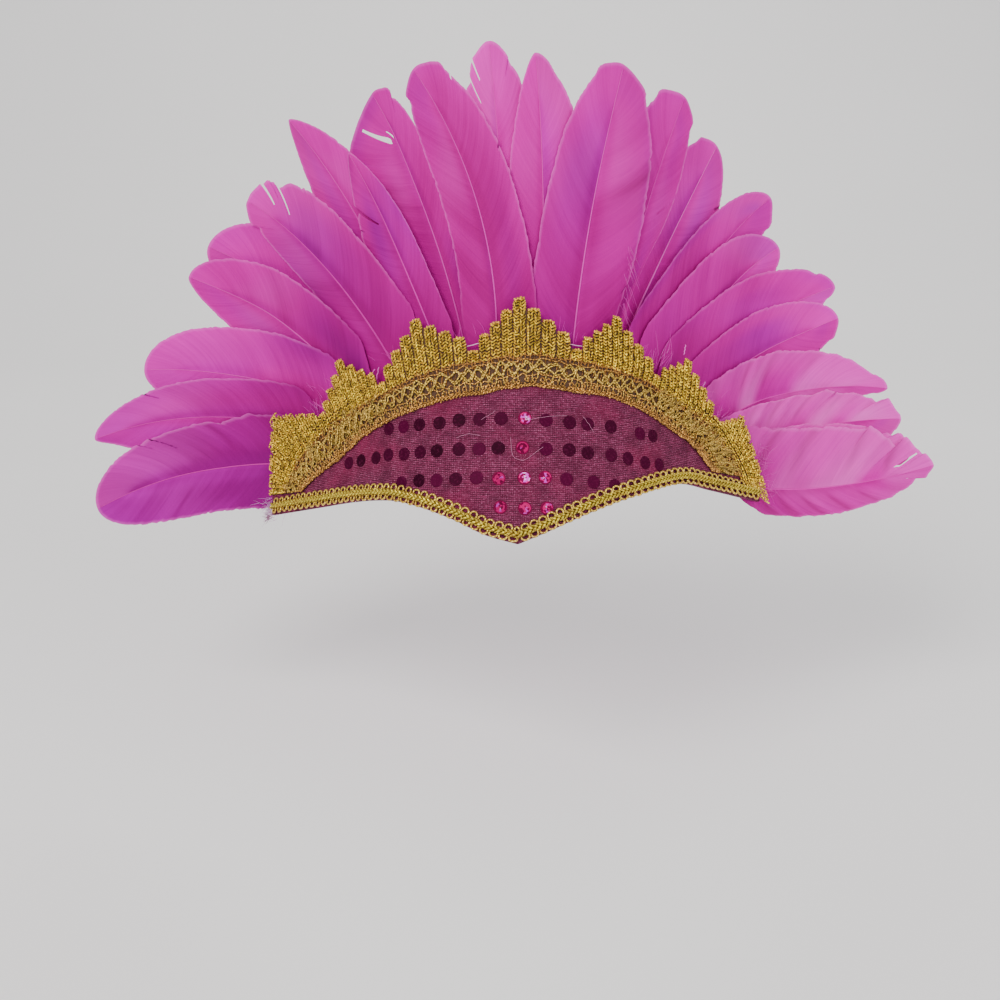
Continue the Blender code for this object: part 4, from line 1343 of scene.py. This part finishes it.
def lace_wales(pile, edging, rand):
    """The fingers: columns of chain stitches, closed by a rounded top with small bumps."""
    first, last = FIRST_FINGER, LAST_FINGER
    stitch = 0.00155
    stitches, knots = Beads(), Beads()
    yellow, rosy = np.array((1.22, 1.08, 0.82)), np.array((1.2, 0.84, 0.78))
    for k in range(int(first), int(last) + 2):
        rise = finger_top(k)
        over = 0.0006 * max(0, k - last)
        low = -0.26 * LACE_BAND
        wide_at = [finger_place(k + d, rise * 0.6, 0.0) for d in (-0.5, 0.5)]
        wales = max(2, round(np.linalg.norm(wide_at[1] - wide_at[0]) / 0.0030))
        full = 1.0 if abs(k) > CUT_FINGERS else 0.93
        for wale in range(wales):
            where = k + ((wale + 0.5) / wales - 0.5) * full
            if where < first:
                continue
            top = finger_top(where) if abs(k) > CUT_FINGERS else rise
            count = max(2, round((top - low) / stitch))
            for i in range(count):
                height = low + (top - low) * (i + 0.35) / count
                near_top = max(0.0, 1 - (top - height) / 0.0030)
                at = where + (k - where) * 0.22 * near_top
                here = finger_place(at, height, 0.0)
                ahead = finger_place(at, height + 0.0006, 0.0) - here
                ahead /= np.linalg.norm(ahead)
                aside = finger_place(at + 0.05, height, 0.0) - finger_place(at - 0.05, height, 0.0)
                pitch = np.linalg.norm(aside) * 10 * full / wales
                aside = aside / np.linalg.norm(aside)
                out = np.cross(ahead, aside)
                out = out if out[1] < 0 else -out
                half = min(pitch, 0.0050) / 2 * (1 - 0.2 * near_top)
                for turn in (-1, 1):
                    angle = 0.66 * turn + rand.uniform(-0.38, 0.38)
                    long = ahead * math.cos(angle) + aside * math.sin(angle)
                    wide = aside * math.cos(angle) - ahead * math.sin(angle)
                    lift = 0.00095 + over + 0.0003 * rand.uniform() + 0.0002 * (i % 2)
                    spot = here + aside * (turn * half * 0.50 + rand.uniform(-1, 1) * 0.00022) + out * lift
                    # random brightness for each stitch: partly the yarn's own tone, partly painted sparkle
                    tone = yellow * (0.42 + 1.15 * rand.uniform() ** 1.4)
                    stitches.add(spot, long * half * 0.84, wide * 0.00048, out * 0.00052, tone)
        t = np.linspace(0, math.pi, 9)
        side = np.clip(k - 0.34 * np.cos(t), first, last)
        arc = finger_place(side, rise - 0.0013 + 0.0011 * np.sin(t), 0.0011)
        edging.tube(arc, 0.00042, sides=6, tone=rand.uniform(0.8, 1.15) * rosy)
        for bump in (-0.33, -0.12, 0.12, 0.33):
            if k + bump < first:
                continue
            lift = rise - 0.0006 + 0.0007 * math.cos(bump * 3.6) + rand.uniform(-0.0002, 0.0002)
            if abs(k) > CUT_FINGERS:
                lift = finger_top(k + bump) + rand.uniform(-0.0002, 0.0002)
            here = finger_place(k + bump, lift, 0.0011)
            knots.knot(here, 0.00052 * rand.uniform(0.75, 1.2), rosy * rand.uniform(0.7, 1.5))
        for side, other in ((-0.43, finger_top(max(k - 1, first))), (0.43, finger_top(min(k + 1, last)))):
            if not first <= k + side <= last or abs(k) > CUT_FINGERS:
                continue
            for i in range(int((rise - other - 0.0012) / 0.0013)):
                here = finger_place(k + side, other + 0.0006 + 0.0013 * i, 0.0010)
                knots.knot(here, 0.00050 * rand.uniform(0.75, 1.2), rosy * rand.uniform(0.6, 1.2))
    stitches.pour(pile, 6, 4)
    knots.pour(edging, 6, 4)


def spaced(rand, first, last, count, jitter):
    """Places spread over a stretch, each a little off its turn and drawn when it is asked for."""
    for k in range(count):
        yield first + (k + 0.5 + rand.uniform(-jitter, jitter)) * (last - first) / count


def lace_band(pile, rand):
    """The openwork: heading cord, bars, crossing strands and ragged bars under the fingers."""
    first, last = LACE[0, 0], LACE[-1, 0]
    rosy = np.array((1.05, 0.82, 0.80))
    brown = np.array((0.62, 0.42, 0.34))
    greenish = np.array((0.98, 1.0, 0.80))
    repeat = np.linspace(first, last, 1050)
    finger = repeat * FINGERS_PER_REPEAT
    share_way = (repeat - first) / (last - first)
    wander = smooth_noise(3, 150)(share_way)
    # heading cord
    for phase in (0, math.pi):
        twist = finger * 10.0 + phase
        share = 0.045 + 0.022 * np.sin(twist) + 0.010 * wander
        path = lace_points(repeat, share, 0.0010 + 0.0004 * np.cos(twist))
        pile.tube(path, 0.00040, sides=5, tone=rosy * (0.80 if phase else 1.0))
    knots = Beads()
    for middle in spaced(rand, first, last, int((last - first) * 30), 0.3):
        for share, size in ((0.015, 0.00045), (0.095, 0.00055)):
            here = lace_points(middle, share + rand.uniform(-0.02, 0.02), 0.0011 + rand.uniform(0, 0.0003))
            knots.knot(here, size * rand.uniform(0.7, 1.4), rosy * (0.35 + 1.2 * rand.uniform() ** 1.6))
    knots.pour(pile, 6, 4)
    # small loops over the heading
    turns = np.linspace(0, 2 * math.pi, 11)
    for middle in spaced(rand, first, last, int((last - first) * 15), 0.2):
        size = rand.uniform(0.8, 1.25)
        across = np.clip(middle + size * 0.018 * np.cos(turns), first, last)
        share = 0.155 + 0.050 * size * np.sin(turns) + rand.uniform(-0.02, 0.02)
        path = lace_points(across, share, 0.0010 + 0.0004 * np.cos(turns + rand.uniform(0, 6)))
        pile.tube(path, 0.00036, sides=5, tone=rand.uniform(0.50, 1.25) * rosy)
    # bars, behind the strands and under the fingers
    zones = (
        (0.15, 0.36, greenish * 0.95, 0.0008, 17),
        (0.34, 0.62, brown * 0.9, 0.0006, 20),
        (0.63, 0.87, brown * 0.95, 0.0008, 24),
    )
    for low, high, colour, lift, often in zones:
        for middle in spaced(rand, first, last, int((last - first) * often), 0.25):
            t = np.linspace(0, 1, 5)
            bottom = low + rand.uniform(-0.05, 0.04)
            top = high + rand.uniform(-0.06, 0.04)
            across = np.clip(middle + rand.uniform(-0.025, 0.025) * (t - 0.5), first, last)
            out = lift + 0.0004 * np.sin(math.pi * t) * rand.uniform(0.2, 1)
            path = lace_points(across, bottom + (top - bottom) * t, out)
            radius = 0.00036 * rand.uniform(0.7, 1.25)
            pile.tube(path, radius, sides=5, tone=colour * rand.uniform(0.40, 1.45))
    # crossing strands
    for strand in range(4):
        phase = math.pi * (strand % 2)
        apart = 0.020 * (1 if strand < 2 else -1)
        ragged = smooth_noise(90 + strand, 190)(share_way)
        swing = np.arcsin(0.94 * np.sin(finger * math.pi + phase + 0.55 * ragged)) / (math.pi / 2)
        over = 0.0015 + 0.0005 * np.cos(finger * math.pi + phase)
        share = 0.455 + (0.175 + 0.03 * wander) * swing + apart * (1 + 0.6 * ragged) + 0.022 * ragged
        pile.tube(lace_points(repeat, share, over), 0.00040, sides=6, tone=greenish * rand.uniform(0.95, 1.1))
    # curls that fill the openwork towards its ends
    for middle in (*rand.uniform(-3.45, -1.6, 120), *rand.uniform(1.6, 3.45, 190)):
        size = rand.uniform(0.7, 1.5)
        across = np.clip(middle + size * 0.022 * np.cos(turns), first, last)
        share = rand.uniform(0.25, 0.80) + 0.060 * size * np.sin(turns + rand.uniform(0, 1))
        path = lace_points(across, share, 0.0014 + 0.0006 * np.cos(turns + rand.uniform(0, 6)))
        pile.tube(path, 0.00036, sides=5, tone=rand.uniform(0.45, 1.35) * greenish)
    # thin ragged threads that run along
    for number, (share, wave) in enumerate(((0.27, 0.030), (0.64, 0.035), (0.72, 0.03))):
        ragged = smooth_noise(40 + number, 200)(share_way)
        share = share + wave * ragged + 0.012 * np.sin(finger * 5)
        path = lace_points(repeat, share, 0.0011 + 0.0002 * ragged)
        pile.tube(path, 0.00034, sides=5, tone=(rosy, rosy * 0.9, brown)[number])


def make_lace():
    rand = np.random.RandomState(31)
    fingers, edging, band = Pile(), Pile(), Pile()
    lace_wales(fingers, edging, rand)
    lace_band(band, rand)
    fingers.make("lace_fingers", (LACE_YARN,), "gold_lace")
    edging.make("lace_edging", (LACE_YARN,), "gold_lace")
    band.make("lace_openwork", (OPENWORK_YARN,), "gold_lace")
    make_lace_ground()


# Loose fibres and down


def strands(pile, rand, start, way, count, length, spread, radius, tone, out, curl=0.4):
    """Fine hairs that fan out from about a chart place. way is their mean heading in degrees."""
    for _ in range(count):
        turn = math.radians(way + rand.normal() * spread)
        reach = length * rand.uniform(0.4, 1.15)
        bend = rand.normal() * curl
        t = np.linspace(0, 1, 8)
        angle = turn + bend * t
        step = reach / 7
        along = start[0] + rand.normal() * start[2] + running_sum(np.sin(angle[1:]) * step)
        up = start[1] + rand.normal() * start[3] + running_sum(np.cos(angle[1:]) * step)
        lift = out + 0.0006 * rand.uniform() + 0.0018 * rand.uniform() * t**1.5
        hair = radius * (1 - 0.6 * t)
        pile.tube(place(along, up, lift), hair, sides=4, tone=tone * rand.uniform(0.7, 1.15))


def thread(pile, places, out, radius, tone, points=40):
    """A loose thread through chart places given in mm."""
    places = np.array(places, float) / 1000
    knots = np.linspace(0, 1, len(places))
    t = np.linspace(0, 1, points)
    along, up = smooth_curve(t, knots, places[:, 0]), smooth_curve(t, knots, places[:, 1])
    lift = out + 0.0005 * np.sin(t * 9) ** 2
    pile.tube(place(along, up, lift), radius, sides=5, tone=tone)


def make_fluff():
    pile = Pile()
    rand = np.random.RandomState(77)
    lilac = np.array((0.70, 0.36, 0.66))
    white = np.array((0.90, 0.40, 0.68))
    blush = PALE + 0.3 * (WHITISH - PALE)
    faint = PALE + 0.25 * (WHITISH - PALE)
    # loose threads on the cloth and across the valleys of the lace
    cloth_threads = (
        ((-3.5, 51.6), (-2.6, 43.2), (0.0, 40.8), (3.5, 40.6), (9.0, 44.6), (12.2, 47.0)),
        ((5.8, 60.1), (12.0, 61.4), (17.8, 62.2), (24.0, 62.6)),
        ((-17.6, 60.4), (-13.0, 63.0), (-10.9, 64.6)),
        ((32.0, 62.6), (35.0, 59.0), (37.4, 55.2)),
        ((-30.0, 52.0), (-24.0, 53.6), (-18.0, 52.6)),
    )
    for places in cloth_threads:
        thread(pile, places, 0.0005, 0.00010, np.array((0.42, 0.15, 0.25)))
    thread(pile, ((-27.0, 97.0), (-20.0, 98.5), (-12.0, 99.5)), -0.0012, 0.00024, white)
    thread(pile, ((18.0, 99.6), (26.0, 98.6), (36.0, 97.8)), -0.0012, 0.00024, white)
    # bits of bare quill by the lace
    for places in (
        ((-86.0, 86.0), (-80.0, 92.5)),
        ((-79.5, 84.5), (-77.0, 93.0)),
        ((100.0, 103.5), (101.5, 109.0)),
        ((112.0, 84.0), (117.0, 92.0)),
    ):
        thread(pile, places, -0.0012, 0.00028, PALE + 0.6 * (WHITISH - PALE), points=12)
    # down: along, up and their spreads, then heading, count, length, fan, radius, colour and lift
    for foot, *hairs in (
        ((-0.154, 0.033, 0.006, 0.002), -120, 110, 0.009, 30, 0.00010, lilac * 0.9, -0.0020),
        ((-0.162, 0.028, 0.002, 0.002), -100, 70, 0.006, 34, 0.00010, lilac * 0.9, -0.0022),
        ((0.163, 0.052, 0.004, 0.009), 60, 60, 0.008, 40, 0.00008, faint, -0.0016),
        ((0.166, 0.040, 0.003, 0.004), 75, 26, 0.006, 40, 0.00008, faint, -0.0016),
        ((-0.118, 0.078, 0.006, 0.002), -10, 26, 0.009, 34, 0.00008, blush, -0.0016),
        ((0.126, 0.072, 0.006, 0.002), 20, 26, 0.009, 34, 0.00008, blush, -0.0016),
        ((0.078, 0.096, 0.005, 0.003), 24, 22, 0.012, 16, 0.00008, blush, -0.0018),
    ):
        strands(pile, rand, foot, *hairs)
    for places in ((0.0, 101.0), (-52.0, 96.0), (50.0, 96.0), (-100.0, 88.0), (102.0, 88.0)):
        foot = (places[0] / 1000, places[1] / 1000, 0.016, 0.002)
        strands(pile, rand, foot, places[0] * 0.45, 40, 0.008, 22, 0.00008, PALE, -0.0018)
    # loose barbs beside the bright quill
    for foot in ((0.056, 0.122), (0.058, 0.132), (0.060, 0.142), (0.061, 0.151)):
        strands(pile, rand, (*foot, 0.001, 0.004), 160, 6, 0.016, 7, 0.00008, PALE * 0.8, -0.0018, curl=0.2)
    # frayed ends of the cloth
    plum = np.array((0.20, 0.05, 0.12))
    strands(pile, rand, (-0.1615, 0.0245, 0.0005, 0.0006), -100, 14, 0.004, 50, 0.00016, plum, 0.0003)
    return pile.make("loose_fibres", (FIBRE,), "dyed_feather")


# Elastic


def make_elastic():
    out = -(BOARD_THICKNESS + CLEARANCE)
    sewn = np.linspace(ELASTIC_FOOT, ELASTIC_FOOT + ELASTIC_SEWN, 6)
    x, y = plan_place(sewn, out)
    points = list(zip(x, y))
    across = np.array([-math.sin(BEND_ANGLE), math.cos(BEND_ANGLE)])
    centre = np.array(points[-1]) + ELASTIC_FOLD * across
    for heading in np.linspace(BEND_ANGLE, ELASTIC_LEAVING, 9)[1:]:
        angle = heading - math.pi / 2
        points.append(centre + ELASTIC_FOLD * np.array([math.cos(angle), math.sin(angle)]))
    start = np.array(points[-1])
    middle = BOARD_THICKNESS + HEAD_DEPTH - start[1]
    for turn in np.linspace(0, math.pi / 2, 41)[1:]:
        points.append(np.array([start[0] * math.cos(turn), start[1] + middle * math.sin(turn)]))
    right = np.array(points)
    route = np.concatenate([right, right[-2::-1] * np.array([-1, 1])])
    steps = np.hypot(*np.diff(route, axis=0).T)
    length = running_sum(steps)
    sewn = np.linspace(ELASTIC_FOOT, ELASTIC_FOOT + ELASTIC_SEWN, 9)
    edge = max(lower_edge(sewn).max(), lower_edge(-sewn).max())
    low = edge + ELASTIC_LIFT + ELASTIC_CLIMB * np.sin(math.pi * length / length[-1])
    ahead = np.gradient(route, axis=0)
    ahead /= np.linalg.norm(ahead, axis=1, keepdims=True)
    inward = np.stack([-ahead[:, 1], ahead[:, 0]], axis=-1) * ELASTIC_THICKNESS
    shares = np.linspace(0, 1, 13)
    bulge = 1 - 0.25 * (2 * shares - 1) ** 8
    outer = route[:, None] + inward[:, None] * (0.5 - 0.5 * bulge)[None, :, None]
    inner = route[:, None] + inward[:, None] * (0.5 + 0.5 * bulge)[None, :, None]
    up = low[:, None] + ELASTIC_WIDTH * shares
    outer, inner = (stand_up(side[..., 0], side[..., 1], up) for side in (outer, inner))
    ring = np.concatenate([outer, inner[:, ::-1]], axis=1)
    around = 2 * len(shares)
    faces = grid_faces(len(route), around, closed=True)
    faces.append(tuple(range(around)))
    faces.append(tuple(reversed(range((len(route) - 1) * around, len(route) * around))))
    both = np.concatenate([shares, shares[::-1]]) * ELASTIC_WIDTH * 1000
    uv = np.stack(np.broadcast_arrays(length[:, None] * 1000, both[None]), axis=-1)
    return add_mesh("elastic_strap", ring, faces, (ELASTIC,), ("elastic_band",), uv)


# Camera, light and floor


def make_studio():
    pitch = math.radians(17.5)
    focal = 1.4
    depth = 0.665
    tip_right, tip_down = 0.018, 0.044
    forward = np.array([0, math.cos(pitch), -math.sin(pitch)])
    up = np.array([0, math.sin(pitch), math.cos(pitch)])
    tip = stand_up(0.0, 0.0, 0.0)
    where = tip - depth * forward
    where = where + (up * tip_down - np.array([1, 0, 0]) * tip_right) * depth / focal
    camera = bpy.data.objects.new("camera", bpy.data.cameras.new("camera"))
    camera.data.sensor_width = 36
    camera.data.lens = 36 * focal
    camera.data.clip_start = 0.01
    camera.data.clip_end = 50
    camera.location = where
    camera.rotation_euler = (math.pi / 2 - pitch, 0, 0)
    bpy.context.scene.collection.objects.link(camera)
    bpy.context.scene.camera = camera

    for name, place_at, size, power, colour in (
        ("key", (-0.9, -1.5, 1.5), 1.0, 46, (1.0, 0.97, 0.95)),
        ("fill", (1.3, -1.2, 0.7), 1.4, 16, (0.97, 0.97, 1.0)),
        ("rim", (0.2, 1.5, 1.3), 1.0, 12, (1.0, 1.0, 1.0)),
    ):
        light = bpy.data.lights.new(name, "AREA")
        light.size = size
        light.energy = power
        light.color = colour
        obj = bpy.data.objects.new(name, light)
        obj.location = place_at
        direction = -np.array(place_at) + np.array([0, 0.05, 0.05])
        obj.rotation_euler = look_along(direction)
        bpy.context.scene.collection.objects.link(obj)

    world = bpy.data.worlds.new("studio")
    world.use_nodes = True
    background = world.node_tree.nodes["Background"]
    background.inputs[0].default_value = (0.92, 0.92, 0.94, 1)
    background.inputs[1].default_value = 0.75
    bpy.context.scene.world = world

    low = cad_box[0][2] - 0.14
    bend = np.linspace(0, math.pi / 2, 13)
    run = np.concatenate([[-3.0], 1.2 + 0.8 * np.sin(bend), [2.0]])
    lift = np.concatenate([[0.0], 0.8 - 0.8 * np.cos(bend), [4.0]])
    points = [(x, y, low + z) for y, z in zip(run, lift) for x in (-5.0, 5.0)]
    mesh = bpy.data.meshes.new("studio_sweep")
    mesh.from_pydata(points, [], grid_faces(len(run), 2))
    mesh.materials.append(floor_material())
    mesh.shade_smooth()
    sweep = bpy.data.objects.new("studio_sweep", mesh)
    bpy.context.scene.collection.objects.link(sweep)


def look_along(direction):
    """Euler angles that point a light's -Z along a direction."""
    x, y, z = direction
    flat = math.hypot(x, y)
    return (math.atan2(flat, -z), 0, math.atan2(y, x) - math.pi / 2)


make_studio()
make_board()
make_fabric()
make_sequins()
make_braid()
make_lace()
make_fluff()
make_elastic()
for number, row in enumerate(FEATHERS):
    make_feather(Feather(row, 100 * (number + 1)))
